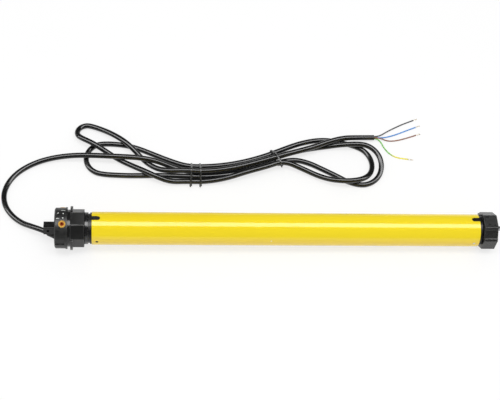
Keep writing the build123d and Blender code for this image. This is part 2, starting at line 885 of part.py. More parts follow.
# End shields of the motor, each with a bush seat and wire holes
shield_radius = tube_inner_radius - seat_clearance
shields = (
    ("front_shield", front_shield_x, 1),
    ("rear_shield", rear_shield_x + shield_thickness, -1),
)
for name, outer_x, way in shields:
    with BuildPart() as end_shield:
        with BuildSketch(Plane.XY):
            turned_face(
                (outer_x, bush_outer_radius),
                (outer_x, shield_radius),
                (outer_x + way * shield_thickness, shield_radius),
                (outer_x + way * shield_thickness, shield_radius - shield_wall),
                (outer_x + way * shield_web, shield_radius - shield_wall),
                (outer_x + way * shield_web, shield_hub_radius),
                (outer_x + way * rotor_bush_length, shield_hub_radius),
                (outer_x + way * rotor_bush_length, bush_outer_radius),
            )
        revolve(axis=Axis.X)
        with BuildSketch(station(outer_x)):
            with PolarLocations(shield_hole_reach, shield_holes):
                Circle(shield_hole_radius)
        extrude(amount=way * shield_web, mode=Mode.SUBTRACT)
    save(end_shield, name)

# Bearing bushes: two for the rotor's shaft, and one for the output shaft in the rear plug
with BuildPart() as shaft_bushes:
    for outer_x in (front_shield_x, rear_shield_x + shield_thickness - rotor_bush_length):
        with BuildSketch(station(outer_x)):
            Circle(bush_outer_radius)
            Circle(shaft_radius + shaft_clearance, mode=Mode.SUBTRACT)
        extrude(amount=rotor_bush_length)
    with BuildSketch(station(collar_end_x - output_bush_length)):
        Circle(output_bush_radius)
        Circle(output_shaft_radius + running_clearance, mode=Mode.SUBTRACT)
    extrude(amount=output_bush_length)
save(shaft_bushes, "shaft_bushes")

# Laminated stator with round slots, and the winding that runs through them
with BuildPart() as stator_core:
    with BuildSketch(station(stator_x)):
        Circle(shield_radius)
        Circle(stator_bore_radius, mode=Mode.SUBTRACT)
        with PolarLocations(stator_slot_pitch_radius, stator_slots):
            Circle(stator_slot_radius, mode=Mode.SUBTRACT)
    extrude(amount=stator_length)
save(stator_core, "stator_core")

with BuildPart() as stator_winding:
    for end_x in (stator_x - winding_overhang, stator_end_x):
        with BuildSketch(station(end_x)):
            Circle(winding_outer_radius)
            Circle(winding_inner_radius, mode=Mode.SUBTRACT)
        extrude(amount=winding_overhang)
    with BuildSketch(station(stator_x)):
        with PolarLocations(stator_slot_pitch_radius, stator_slots):
            Circle(stator_slot_radius - slot_fill_clearance)
    extrude(amount=stator_length)
save(stator_winding, "stator_winding")

# Rotor: squirrel cage core, and the shaft with the first sun gear at its rear end
stage_x = [gearbox_x + stage_lead + index * stage_pitch for index in range(stage_count)]
with BuildPart() as rotor_core:
    with BuildSketch(station(stator_x + rotor_inset)):
        Circle(rotor_radius)
        Circle(shaft_radius, mode=Mode.SUBTRACT)
    extrude(amount=stator_length - 2 * rotor_inset)
    for end_x, way in ((stator_x + rotor_inset, -1), (stator_end_x - rotor_inset, 1)):
        with BuildSketch(station(end_x)):
            Circle(end_ring_radius)
            Circle(shaft_radius, mode=Mode.SUBTRACT)
        extrude(amount=way * end_ring_length)
save(rotor_core, "rotor_core")

with BuildPart() as rotor_shaft:
    with BuildSketch(station(front_shield_x)):
        Circle(shaft_radius)
    extrude(amount=stage_x[0] - front_shield_x)
    with BuildSketch(station(stage_x[0])):
        gear_face_outline(sun_teeth, gear_module, tooth_thinning)
    extrude(amount=gear_face)
save(rotor_shaft, "rotor_shaft")

# Brake: pot magnet, coil, armature that the coil pulls in, spring and friction disc
brake_end_x = brake_x + brake_pot_length
pot_radius = tube_inner_radius - seat_clearance
with BuildPart() as brake_pot:
    with BuildSketch(Plane.XY):
        turned_face(
            (brake_x, brake_core_bore),
            (brake_x, pot_radius),
            (brake_end_x, pot_radius),
            (brake_end_x, pot_radius - brake_pot_wall),
            (brake_x + brake_pot_wall, pot_radius - brake_pot_wall),
            (brake_x + brake_pot_wall, brake_core_radius),
            (brake_end_x, brake_core_radius),
            (brake_end_x, spring_radius + spring_seat_gap),
            (brake_end_x - spring_seat_depth, spring_radius + spring_seat_gap),
            (brake_end_x - spring_seat_depth, brake_core_bore),
        )
    revolve(axis=Axis.X)
save(brake_pot, "brake_pot")

with BuildPart() as brake_coil:
    with BuildSketch(station(brake_x + brake_pot_wall)):
        Circle(pot_radius - brake_pot_wall - seat_clearance)
        Circle(brake_core_radius + seat_clearance, mode=Mode.SUBTRACT)
    extrude(amount=brake_pot_length - brake_pot_wall - brake_coil_inset)
save(brake_coil, "brake_coil")

with BuildPart() as brake_armature:
    with BuildSketch(station(armature_x)):
        Circle(armature_radius)
        Circle(shaft_radius + face_clearance, mode=Mode.SUBTRACT)
    extrude(amount=armature_thickness)
save(brake_armature, "brake_armature")

spring_x = brake_end_x - spring_seat_depth
spring_height = spring_seat_depth + brake_air_gap
with BuildPart() as brake_spring:
    coil_height = spring_height - 2 * spring_wire_radius
    with BuildLine() as spring_line:
        Helix(
            coil_height / spring_turns,
            coil_height,
            spring_radius - spring_wire_radius,
            center=(spring_x + spring_wire_radius, 0, 0),
            direction=(1, 0, 0),
        )
    with BuildSketch(Plane(origin=spring_line.wire() @ 0, z_dir=spring_line.wire() % 0)):
        Circle(spring_wire_radius)
    sweep(path=spring_line.wire(), is_frenet=True)
save(brake_spring, "brake_spring")

with BuildPart() as brake_disc:
    with BuildSketch(station(brake_disc_x)):
        Circle(brake_disc_radius)
    extrude(amount=brake_disc_thickness)
    with BuildSketch(station(brake_disc_x + brake_disc_thickness)):
        Circle(brake_hub_radius)
    extrude(amount=brake_hub_length)
    with BuildSketch(station(brake_disc_x)):
        Circle(shaft_radius)
    extrude(amount=brake_disc_thickness + brake_hub_length, mode=Mode.SUBTRACT)
save(brake_disc, "brake_disc")

# Gearbox housing with one long ring gear, closed by a cap that guides the output shaft
with BuildPart() as gearbox_housing:
    with BuildSketch(station(gearbox_x)):
        Circle(tube_inner_radius - seat_clearance)
    extrude(amount=gearbox_length)
    with BuildSketch(station(gearbox_x)):
        gear_face_outline(ring_teeth, gear_module, tooth_thinning, hollow=True, phase=180.0 / ring_teeth)
    extrude(amount=gearbox_length, mode=Mode.SUBTRACT)
save(gearbox_housing, "gearbox_housing")

with BuildPart() as gearbox_cap:
    with BuildSketch(station(gearbox_end_x)):
        Circle(tube_inner_radius - seat_clearance)
        Circle(output_shaft_radius + running_clearance, mode=Mode.SUBTRACT)
    extrude(amount=gearbox_cap_length)
save(gearbox_cap, "gearbox_cap")

# Three planetary stages: planets on pins, and carriers that drive the next sun
planet_reach = gear_module * (sun_teeth + planet_teeth) / 2
planet_phase = 180.0 / planet_teeth
plate_gap = gear_face + carrier_gap
for stage in range(stage_count):
    for index in range(planet_count):
        angle = 360.0 * index / planet_count
        with BuildPart() as planet:
            with BuildSketch(gear_plane(stage_x[stage], planet_reach, angle)):
                gear_face_outline(
                    planet_teeth, gear_module, tooth_thinning, angle + planet_phase
                )
            extrude(amount=gear_face)
            with BuildSketch(gear_plane(stage_x[stage], planet_reach, angle)):
                Circle(planet_pin_radius + planet_bore_clearance)
            extrude(amount=gear_face, mode=Mode.SUBTRACT)
        save(planet, f"planet_{stage + 1}_{index + 1}")
    with BuildPart() as planet_pins:
        with BuildSketch(station(stage_x[stage] - pin_head_gap)):
            with PolarLocations(planet_reach, planet_count):
                Circle(pin_head_radius)
        extrude(amount=-pin_head_height)
        with BuildSketch(station(stage_x[stage] - pin_head_gap)):
            with PolarLocations(planet_reach, planet_count):
                Circle(planet_pin_radius)
        extrude(amount=pin_head_gap + plate_gap + carrier_plate)
    save(planet_pins, f"planet_pins_{stage + 1}")

for stage in range(stage_count):
    plate_x = stage_x[stage] + plate_gap
    last = stage == stage_count - 1
    with BuildPart() as carrier:
        with BuildSketch(station(plate_x)):
            Circle(carrier_radius)
            with PolarLocations(planet_reach, planet_count):
                Circle(planet_pin_radius, mode=Mode.SUBTRACT)
        extrude(amount=carrier_plate)
        if last:
            groove_end_x = wheel_end_x - clip_inset
            with BuildSketch(station(plate_x + carrier_plate)):
                Circle(output_shaft_radius)
            extrude(amount=wheel_x - plate_x - carrier_plate)
            with BuildSketch(station(wheel_x)):
                Circle(output_shaft_radius)
                Rectangle(drive_flats, 2 * output_shaft_radius, mode=Mode.INTERSECT)
            extrude(amount=wheel_length)
            with BuildSketch(station(wheel_end_x)):
                Circle(shaft_tip_radius)
                with Locations(place(0, -shaft_tip_radius, shaft_tip_angle)[1:]):
                    Rectangle(
                        2 * shaft_tip_radius,
                        2 * shaft_tip_radius,
                        rotation=shaft_tip_angle,
                        mode=Mode.SUBTRACT,
                    )
            extrude(amount=shaft_tip_length)
            with BuildSketch(station(groove_end_x - clip_thickness)):
                Circle(output_shaft_radius)
                Circle(output_shaft_radius - clip_groove_depth, mode=Mode.SUBTRACT)
            extrude(amount=clip_thickness, mode=Mode.SUBTRACT)
        else:
            with BuildSketch(station(plate_x + carrier_plate)):
                gear_face_outline(sun_teeth, gear_module, tooth_thinning)
            extrude(amount=stage_pitch - plate_gap - carrier_plate + gear_face)
    save(carrier, "output_shaft" if last else f"carrier_{stage + 1}")

# Plug in the rear of the tube, with a seat for the output shaft's bush
with BuildPart() as rear_plug:
    plug_radius = tube_inner_radius - seat_clearance
    with BuildSketch(Plane.XY):
        turned_face(
            (rear_plug_x, rear_plug_bore_radius),
            (rear_plug_x, plug_radius),
            (tube_end_x, plug_radius),
            (tube_end_x, rear_collar_radius),
            (collar_end_x, rear_collar_radius),
            (collar_end_x, output_bush_radius),
            (collar_end_x - output_bush_length, output_bush_radius),
            (collar_end_x - output_bush_length, rear_plug_bore_radius),
        )
    revolve(axis=Axis.X)
    key_length = slot_length - slot_width / 2 - key_clearance
    key_base_radius = rear_collar_radius - tube_wall
    with BuildSketch(side_plane(tube_end_x - key_length / 2, key_base_radius, rear_slot_angle)):
        Rectangle(key_length, slot_width - 2 * key_clearance)
    extrude(amount=tube_radius - key_drop - key_base_radius)
    for angle in (tube_pin_angle, tube_pin_angle + 180):
        with BuildSketch(side_plane(tube_end_x - tube_pin_inset, tube_radius, angle)):
            Circle(tube_pin_radius)
        extrude(amount=-tube_pin_length, mode=Mode.SUBTRACT)
save(rear_plug, "rear_plug")

# Octagonal drive wheel: web, ribs, hub, seam panel and the tongue that locks it
with BuildPart() as drive_wheel:
    hub_length = wheel_length - clip_inset - clip_thickness
    with BuildSketch(station(wheel_x)):
        RegularPolygon(wheel_flats / 2, octagon_sides, major_radius=False, rotation=octagon_turn)
    extrude(amount=wheel_length)
    chamfer(
        drive_wheel.faces().sort_by(Axis.X)[0].edges()
        + drive_wheel.faces().sort_by(Axis.X)[-1].edges(),
        wheel_edge_chamfer,
    )
    with BuildSketch(station(wheel_x + wheel_web)):
        RegularPolygon(
            wheel_flats / 2 - wheel_wall, octagon_sides, major_radius=False, rotation=octagon_turn
        )
        Circle(wheel_hub_radius, mode=Mode.SUBTRACT)
        for side in range(octagon_sides // 2):
            Rectangle(
                wheel_flats,
                wheel_rib_width,
                rotation=side * 360.0 / octagon_sides,
                mode=Mode.SUBTRACT,
            )
    extrude(amount=wheel_length - wheel_web, mode=Mode.SUBTRACT)
    with BuildSketch(station(wheel_x + hub_length)):
        Circle(clip_radius + face_clearance)
    extrude(amount=wheel_length - hub_length, mode=Mode.SUBTRACT)
    with BuildSketch(station(wheel_x)):
        Circle(output_shaft_radius + running_clearance)
        Rectangle(
            drive_flats + 2 * running_clearance,
            4 * output_shaft_radius,
            mode=Mode.INTERSECT,
        )
    extrude(amount=wheel_length, mode=Mode.SUBTRACT)
    with BuildSketch(side_plane(wheel_x + wheel_length / 2, wheel_flats / 2, seam_angle)):
        Rectangle(wheel_length + overrun, wheel_seam_width)
    extrude(amount=-wheel_seam_depth, mode=Mode.SUBTRACT)
    with BuildSketch(side_plane(wheel_x, wheel_flats / 2 - tongue_thickness, tongue_angle)):
        Rectangle(2 * tongue_length, tongue_width)
    extrude(amount=tongue_thickness)
save(drive_wheel, "drive_wheel")

# Open ring that keeps the wheel on the shaft
with BuildPart() as wheel_clip:
    clip_bore_radius = output_shaft_radius - clip_groove_depth + running_clearance
    with BuildSketch(station(groove_end_x - clip_thickness)):
        Circle(clip_radius)
        Circle(clip_bore_radius, mode=Mode.SUBTRACT)
        with Locations((0, -clip_radius)):
            Rectangle(clip_mouth, 2 * clip_radius, mode=Mode.SUBTRACT)
    extrude(amount=clip_thickness)
save(wheel_clip, "wheel_clip")

# Mains cable: its route is chosen by hand as (x, y, lift off the table)
lead_in = [gland_tip, gland_tip + cable_exit_way * gland_run] + free_run(
    (-14.0, 9.6, 6.8),
    (-24.5, 16.5, 1.9),
    (-35.0, 26.0, 0.2),
    (-43.0, 38.0),
    (-46.0, 52.0),
    (-43.0, 66.5),
    (-35.0, 79.5),
    (-23.0, 90.0),
    (-8.0, 97.5, 0.8),
    (9.0, 101.0, 3.2),
    (27.0, 101.5, 6.4),
    (45.0, 100.8, 8.0),
    (64.0, 99.5, 8.8),
    (84.0, 98.5, 9.0),
    (103.0, 97.0, 9.2),
    (120.0, 94.0, 7.5),
    (135.0, 89.2, 4.0),
)
first_strand = waist_strand((0.01, 0.2, 0.4, 0.6, 0.8, 0.97), (0.5,) * 6)
outer_right_loop = (
    free_run((279.0, 113.5, 0.6), (296.0, 117.5, 0.4), (313.0, 119.5, 1.5), (329.0, 120.0, 5.0))
    + loop_bend((347.5, 94.0), 25.5, 93.0, -193.0, (over, over, 6.0, 3.0, 0.5, 0.0, 0.0))
    + free_run((334.0, 72.0), (321.0, 80.5), (306.5, 89.0), (291.5, 97.3, 0.4), (275.0, 101.8, 0.8))
)
second_strand = waist_strand((0.93, 0.78, 0.6, 0.4, 0.2, 0.02), (-0.5,) * 6)
lower_left_loop = (
    free_run((133.0, 79.0, 0.8), (117.0, 79.8), (101.0, 79.3), (84.0, 79.3))
    + loop_bend((62.5, 101.5), 20.5, -88.0, -184.0, (0.0,) * 6)
    + free_run((82.0, 121.0), (99.0, 116.0), (116.0, 108.0), (133.0, 99.5, 0.6))
)
third_strand = waist_strand((0.02, 0.2, 0.4, 0.6, 0.8, 0.97), (1.5,) * 6)
inner_right_loop = (
    free_run((276.0, 121.5, 0.8), (291.0, 126.8), (307.0, 129.6), (324.0, 128.2))
    + loop_bend((336.5, 96.5), 26.5, 72.0, -178.0, (0.0, 0.0, 0.0, 2.0, 6.4, 7.6))
    + free_run((324.0, 69.0, 8.0), (312.0, 72.6, 5.0), (298.5, 79.5, 2.4), (284.5, 86.6, 3.6))
)
fourth_strand = waist_strand(
    (0.97, 0.8, 0.6, 0.4, 0.2, 0.03),
    (-1.1, -1.05, -1.05, -1.42, -1.5, -1.5),
    (tie_side_lift, tie_side_lift, tie_side_lift, 3.0, 0.0, 0.0),
)
upper_left_loop = (
    free_run(
        (135.0, 70.0, 2.4),
        (120.0, 73.5, 6.6),
        (106.0, 81.0, over),
        (92.0, 90.5, 3.4),
        (77.0, 100.0, 1.6),
        (62.0, 109.0, 5.6),
        (49.0, 117.8, over),
    )
    + loop_bend((42.6, 135.0), 11.0, 238.0, -176.0, (5.0, 3.4, 2.0, 1.0, 0.6, 0.8))
    + free_run(
        (60.0, 139.5, 2.2),
        (74.0, 129.5, 5.6),
        (87.0, 118.0, 7.8),
        (98.0, 106.5, 4.8),
        (108.0, 96.0, 1.4),
        (120.0, 86.5, 3.0),
        (133.0, 81.4, 7.2),
    )
)
top_strand = waist_strand(
    (0.01, 0.2, 0.4, 0.6, 0.78, 0.96),
    (0.0, -0.1, 0.0, 0.15, 0.2, 0.0),
    (tie_top_lift,) * 6,
)
free_end = free_run(
    (284.0, 110.0, 8.2),
    (300.0, 115.4, 8.4),
    (316.0, 121.4, 9.8),
    (333.0, 126.8, 9.0),
    (351.0, 130.2, 4.6),
    (368.5, 132.6, 1.6),
)
hank_start = (first_strand[1] + first_strand[2]) / 2
hank_end = (top_strand[3] + top_strand[4]) / 2
lead_route = lead_in + first_strand[:2] + [hank_start]
hank_route = (
    [hank_start]
    + first_strand[2:]
    + outer_right_loop
    + second_strand
    + lower_left_loop
    + third_strand
    + inner_right_loop
    + fourth_strand
    + upper_left_loop
    + top_strand[:4]
    + [hank_end]
)
tail_route = [hank_end] + top_strand[4:] + free_end

with BuildPart() as power_cable:
    for points in (lead_route, tail_route):
        cable_line = route_line(points)
        with BuildSketch(Plane(origin=cable_line @ 0, z_dir=cable_line % 0)):
            Circle(cable_radius)
        report_tube("power_cable", points, cable_line, cable_radius, sweep(path=cable_line))
save(power_cable, "power_cable")

# Hank: one tube through the four loops and the waist that the ties hold
with BuildPart() as cable_hank:
    hank_line = route_line(hank_route)
    with BuildSketch(Plane(origin=hank_line @ 0, z_dir=hank_line % 0)):
        Circle(cable_radius)
    report_tube("cable_hank", hank_route, hank_line, cable_radius, sweep(path=hank_line))
print("cable_hank least gap to itself", round(least_gap(hank_line, cable_radius), 2))
save(cable_hank, "cable_hank")

# Stripped cores: they leave the jacket side by side, fan out and end in bare tips
core_routes = {
    "core_black": (45.0, ((386.0, 144.0), (401.0, 152.4), (410.5, 156.9), (418.4, 160.2))),
    "core_blue": (315.0, ((379.5, 134.8), (390.0, 137.5), (399.0, 141.0), (411.0, 146.5), (420.2, 150.4))),
    "core_brown": (135.0, ((385.0, 130.3), (395.0, 131.0), (407.0, 134.5), (419.4, 139.2))),
    "core_earth": (225.0, ((380.0, 120.5), (385.0, 113.0), (392.0, 108.0), (399.0, 106.5), (406.2, 105.4))),
}
jacket_end = Plane(origin=cable_line @ 1, x_dir=(0, 1, 0), z_dir=cable_line % 1)
for name, (angle, places) in core_routes.items():
    across = polar(core_spread, radians(angle))
    core_start = jacket_end.from_local_coords(Vector(*across))
    points = [core_start, core_start + jacket_end.z_dir * core_start_run]
    points += [laid(core_radius, x, y) for x, y in places]
    core_line = route_line(points)
    with BuildPart() as core:
        with BuildSketch(Plane(origin=core_line @ 0, z_dir=core_line % 0)):
            Circle(core_radius)
        report_tube(name, points, core_line, core_radius, sweep(path=core_line))
        with BuildSketch(Plane(origin=core_line @ 1, z_dir=core_line % 1)):
            Circle(core_tip_radius)
        extrude(amount=core_tip_length)
    save(core, name)

# Wire ties: each goes round the outer strands and those on top, and ends in a twist.
# Its places are slots and lifts, from the side where the twist stands.
tie_reach = cable_radius + tie_gap + tie_thickness
tie_shares = (0.07, 0.16, 0.93)
tie_place_shares = (
    ((-1.5, 0.0), (1.5, 0.0), (-0.03, tie_top_lift)),
    ((-1.5, 0.0), (1.5, 0.0), (-0.08, tie_top_lift)),
    ((-1.08, tie_side_lift), (-0.5, 0.0), (1.57, 0.0), (0.03, tie_top_lift)),
)
with BuildPart() as cable_ties:
    for share, tie_places in zip(tie_shares, tie_place_shares):
        middle = waist_point(share, 0)
        aside = waist_point(share, 1) - middle
        along = aside.cross(Vector(0, 0, 1))
        tie_plane = Plane(origin=middle, x_dir=aside, z_dir=along)
        with BuildSketch(tie_plane):
            for slot, lift in tie_places:
                with Locations((slot * strand_pitch, lift)):
                    Circle(tie_reach)
            make_hull()
            offset(amount=-tie_thickness, mode=Mode.SUBTRACT)
        extrude(amount=tie_width / 2, both=True)
        near_slot, near_lift = tie_places[0]
        twist_reach = near_slot * strand_pitch - tie_reach + tie_thickness / 2
        twist_root = tie_plane.from_local_coords(Vector(twist_reach, near_lift))
        with BuildSketch(Plane(origin=twist_root, z_dir=-aside)):
            Circle(tie_twist_radius)
        extrude(amount=tie_twist_length)
save(cable_ties, "cable_ties")
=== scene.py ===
from math import cos, hypot, pi, radians, sin, tan

import bmesh
import bpy
from mathutils import Matrix, Vector


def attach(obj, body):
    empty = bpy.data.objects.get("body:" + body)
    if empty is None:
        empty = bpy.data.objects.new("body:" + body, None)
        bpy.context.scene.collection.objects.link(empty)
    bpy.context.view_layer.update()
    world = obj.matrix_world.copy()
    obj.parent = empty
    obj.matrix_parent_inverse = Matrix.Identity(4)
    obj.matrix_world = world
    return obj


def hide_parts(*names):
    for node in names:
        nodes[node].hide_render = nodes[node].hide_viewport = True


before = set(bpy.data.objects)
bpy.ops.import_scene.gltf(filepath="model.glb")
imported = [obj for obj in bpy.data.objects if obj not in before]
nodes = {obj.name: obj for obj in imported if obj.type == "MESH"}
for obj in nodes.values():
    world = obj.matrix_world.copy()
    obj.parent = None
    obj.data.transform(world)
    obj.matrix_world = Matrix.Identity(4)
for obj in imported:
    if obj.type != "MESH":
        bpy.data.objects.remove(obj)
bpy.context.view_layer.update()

scene = bpy.context.scene

# Camera: a long lens that looks down on the motor from the front, tilted so that
# the motor lies level in the picture while its cable climbs behind it.
camera_elevation = radians(57.0)
camera_azimuth = radians(10.9398)
camera_roll = radians(9.6732)
camera_distance = 1.2964771
camera_target = Vector((0.2127058, 0.0, 0.0578098))
sensor_width = 36.0
picture_width_pixels = 500
focal_length_pixels = 1259.2211
nearest_seen = 0.01
upright = Vector((0, 0, 1))

camera_data = bpy.data.cameras.new("camera")
camera_data.sensor_width = sensor_width
camera_data.lens = sensor_width * (focal_length_pixels / picture_width_pixels)
camera_data.clip_start = nearest_seen
camera = bpy.data.objects.new("camera", camera_data)
scene.collection.objects.link(camera)
scene.camera = camera
forward = Vector((
    sin(camera_azimuth) * cos(camera_elevation),
    cos(camera_azimuth) * cos(camera_elevation),
    -sin(camera_elevation),
))
level = forward.cross(upright).normalized()
rise = level.cross(forward)
right = level * cos(camera_roll) + rise * sin(camera_roll)
up = rise * cos(camera_roll) - level * sin(camera_roll)
turn = Matrix((right, up, -forward)).transposed().to_4x4()
camera.matrix_world = Matrix.Translation(camera_target - forward * camera_distance) @ turn

# Mains cable: black PVC, 6 mm, about two metres. It leaves the gland, swings round
# behind the head, runs through the hank's four loops and ends stripped.
millimetre = 0.001
cable_radius = 3.0
rim_radius = 22.1
wheel_flats = 37.5
rest_head_x = 24.2
rest_wheel_x = 477.5
rest_slope = (rim_radius - wheel_flats / 2) / (rest_wheel_x - rest_head_x)
gland_tip = Vector((4.4916, 0.4148, -9.901))
gland_turn = radians(24.0)
gland_run = 10.0
waist_left = (150.0, 81.5)
waist_right = (262.0, 104.0)
waist_sag = 8.0
strand_pitch = 6.6
strand_points = 6
# How far strands lie above the table: on a tie, and on one or more strands
tie_lift = 1.4
crossing_lift = 7.4
top_strand_lift = 7.0
side_strand_lift = 5.9


def laid(radius, x, y, lift=0.0):
    """A point for a cord that lies on the table, which slopes a little under the motor's axis."""
    table_z = (x - rest_head_x) * rest_slope - rim_radius
    return Vector((x, y, table_z + radius + lift))


def free_run(*places):
    return [laid(cable_radius, *place) for place in places]


def waist_point(share, slot, lift=0.0):
    """A point that share of the way along the sagging waist, and slot strands behind its middle."""
    run_x = waist_right[0] - waist_left[0]
    run_y = waist_right[1] - waist_left[1]
    climb = run_y - 4 * waist_sag * (1 - 2 * share)
    size = hypot(run_x, climb)
    x = waist_left[0] + run_x * share - climb / size * slot * strand_pitch
    y = waist_left[1] + run_y * share - 4 * waist_sag * share * (1 - share)
    y += run_x / size * slot * strand_pitch
    return laid(cable_radius, x, y, lift + tie_lift)


def waist_strand(shares, slots, lifts=(0.0,) * strand_points):
    return [waist_point(*place) for place in zip(shares, slots, lifts)]


def loop_bend(centre, radius, start, sweep_angle, lifts):
    """The corners round an arc, given in degrees, with one corner for each lift."""
    step = sweep_angle / len(lifts)
    reach = radius / cos(radians(step / 2))
    corners = []
    for index, lift in enumerate(lifts):
        angle = radians(start + (index + 1 / 2) * step)
        place = (centre[0] + reach * cos(angle), centre[1] + reach * sin(angle))
        corners.append(laid(cable_radius, *place, lift))
    return corners


def cord_curve(name, points, radius):
    """A round cord. Its points' own radius makes it thick, because a curve's box grows by it."""
    curve = bpy.data.curves.new(name, "CURVE")
    curve.dimensions = "3D"
    curve.bevel_depth = 1.0
    curve.bevel_resolution = 7
    curve.resolution_u = 8
    curve.use_fill_caps = True
    spline = curve.splines.new("NURBS")
    spline.points.add(len(points) - 1)
    for control, point in zip(spline.points, points):
        control.co = (*(point * millimetre), 1.0)
        control.radius = radius * millimetre
    spline.order_u = 3
    spline.use_endpoint_u = True
    piece = bpy.data.objects.new(name, curve)
    scene.collection.objects.link(piece)
    return piece


exit_way = Vector((-cos(gland_turn), sin(gland_turn), 0))
cable_points = [gland_tip, gland_tip + exit_way * gland_run]
cable_points += free_run(
    (-14.0, 9.6, 6.8), (-24.5, 16.5, 1.9), (-35.0, 26.0, 0.2), (-43.0, 38.0),
    (-46.0, 52.0), (-43.0, 66.5), (-35.0, 79.5), (-23.0, 90.0), (-8.0, 97.5, 0.8),
    (9.0, 101.0, 3.2), (27.0, 101.5, 6.4), (45.0, 100.8, 8.0), (64.0, 99.5, 8.8),
    (84.0, 98.5, 9.0), (103.0, 97.0, 9.2), (120.0, 94.0, 7.5), (135.0, 89.2, 4.0),
)
cable_points += waist_strand((0.01, 0.2, 0.4, 0.6, 0.8, 0.97), (0.5,) * strand_points)
# Outer loop on the right
cable_points += free_run(
    (279.0, 113.5, 0.6), (296.0, 117.5, 0.4), (313.0, 119.5, 1.5), (329.0, 120.0, 5.0)
)
cable_points += loop_bend(
    (347.5, 94.0), 25.5, 93.0, -193.0, (crossing_lift, crossing_lift, 6.0, 3.0, 0.5, 0.0, 0.0)
)
cable_points += free_run(
    (334.0, 72.0), (321.0, 80.5), (306.5, 89.0), (291.5, 97.3, 0.4), (275.0, 101.8, 0.8)
)
cable_points += waist_strand((0.93, 0.78, 0.6, 0.4, 0.2, 0.02), (-0.5,) * strand_points)
# Lower loop on the left
cable_points += free_run((133.0, 79.0, 0.8), (117.0, 79.8), (101.0, 79.3), (84.0, 79.3))
cable_points += loop_bend((62.5, 101.5), 20.5, -88.0, -184.0, (0.0,) * 6)
cable_points += free_run((82.0, 121.0), (99.0, 116.0), (116.0, 108.0), (133.0, 99.5, 0.6))
cable_points += waist_strand((0.02, 0.2, 0.4, 0.6, 0.8, 0.97), (1.5,) * strand_points)
# Inner loop on the right
cable_points += free_run((276.0, 121.5, 0.8), (291.0, 126.8), (307.0, 129.6), (324.0, 128.2))
cable_points += loop_bend((336.5, 96.5), 26.5, 72.0, -178.0, (0.0, 0.0, 0.0, 2.0, 6.4, 7.6))
cable_points += free_run(
    (324.0, 69.0, 8.0), (312.0, 72.6, 5.0), (298.5, 79.5, 2.4), (284.5, 86.6, 3.6)
)
cable_points += waist_strand(
    (0.97, 0.8, 0.6, 0.4, 0.2, 0.03), (-1.1, -1.05, -1.05, -1.42, -1.5, -1.5),
    (side_strand_lift, side_strand_lift, side_strand_lift, 3.0, 0.0, 0.0),
)
# Upper loop on the left, which crosses over the others
cable_points += free_run(
    (135.0, 70.0, 2.4), (120.0, 73.5, 6.6), (106.0, 81.0, crossing_lift), (92.0, 90.5, 3.4),
    (77.0, 100.0, 1.6), (62.0, 109.0, 5.6), (49.0, 117.8, crossing_lift),
)
cable_points += loop_bend((42.6, 135.0), 11.0, 238.0, -176.0, (5.0, 3.4, 2.0, 1.0, 0.6, 0.8))
cable_points += free_run(
    (60.0, 139.5, 2.2), (74.0, 129.5, 5.6), (87.0, 118.0, 7.8), (98.0, 106.5, 4.8),
    (108.0, 96.0, 1.4), (120.0, 86.5, 3.0), (133.0, 81.4, 7.2),
)
cable_points += waist_strand(
    (0.01, 0.2, 0.4, 0.6, 0.78, 0.96), (0.0, -0.1, 0.0, 0.15, 0.2, 0.0),
    (top_strand_lift,) * strand_points,
)
cable_points += free_run(
    (284.0, 110.0, 8.2), (300.0, 115.4, 8.4), (316.0, 121.4, 9.8), (333.0, 126.8, 9.0),
    (351.0, 130.2, 4.6), (368.5, 132.6, 1.6),
)
mains_cable = cord_curve("mains_cable", cable_points, cable_radius)
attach(mains_cable, "motor")
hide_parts("power_cable", "cable_hank")


class Value:
    """A socket whose arithmetic adds Math nodes to its node tree."""

    def __init__(self, shading, socket):
        self.shading = shading
        self.socket = socket

    def combine(self, operation, left, right):
        return self.shading.node("ShaderNodeMath", {"operation": operation}, {0: left, 1: right})

    def __add__(self, other):
        return self.combine("ADD", self, other)

    def __sub__(self, other):
        return self.combine("SUBTRACT", self, other)

    def __rsub__(self, other):
        return self.combine("SUBTRACT", other, self)

    def __mul__(self, other):
        return self.combine("MULTIPLY", self, other)

    def __truediv__(self, other):
        return self.combine("DIVIDE", self, other)

    __radd__ = __add__
    __rmul__ = __mul__


class Shading:
    """The node tree of a material or of the world."""

    def __init__(self, tree):
        self.tree = tree

    def feed(self, socket, value):
        """Links a value to a socket, or sets the socket to a plain number or colour."""
        if isinstance(value, Value):
            self.tree.links.new(value.socket, socket)
        else:
            socket.default_value = value

    def node(self, kind, settings, inputs, output=0):
        """Adds a node with its settings, then its inputs, and returns the named output."""
        added = self.tree.nodes.new(kind)
        for key, value in settings.items():
            setattr(added, key, value)
        for key, value in inputs.items():
            self.feed(added.inputs[key], value)
        return Value(self, added.outputs[output])

    def step(self, value, low, high, to_low=0.0, to_high=1.0):
        """Maps low to high onto to_low to to_high, smoothly and clamped."""
        settings = {"interpolation_type": "SMOOTHSTEP"}
        inputs = {"Value": value, "From Min": low, "From Max": high}
        inputs |= {"To Min": to_low, "To Max": to_high}
        return self.node("ShaderNodeMapRange", settings, inputs)


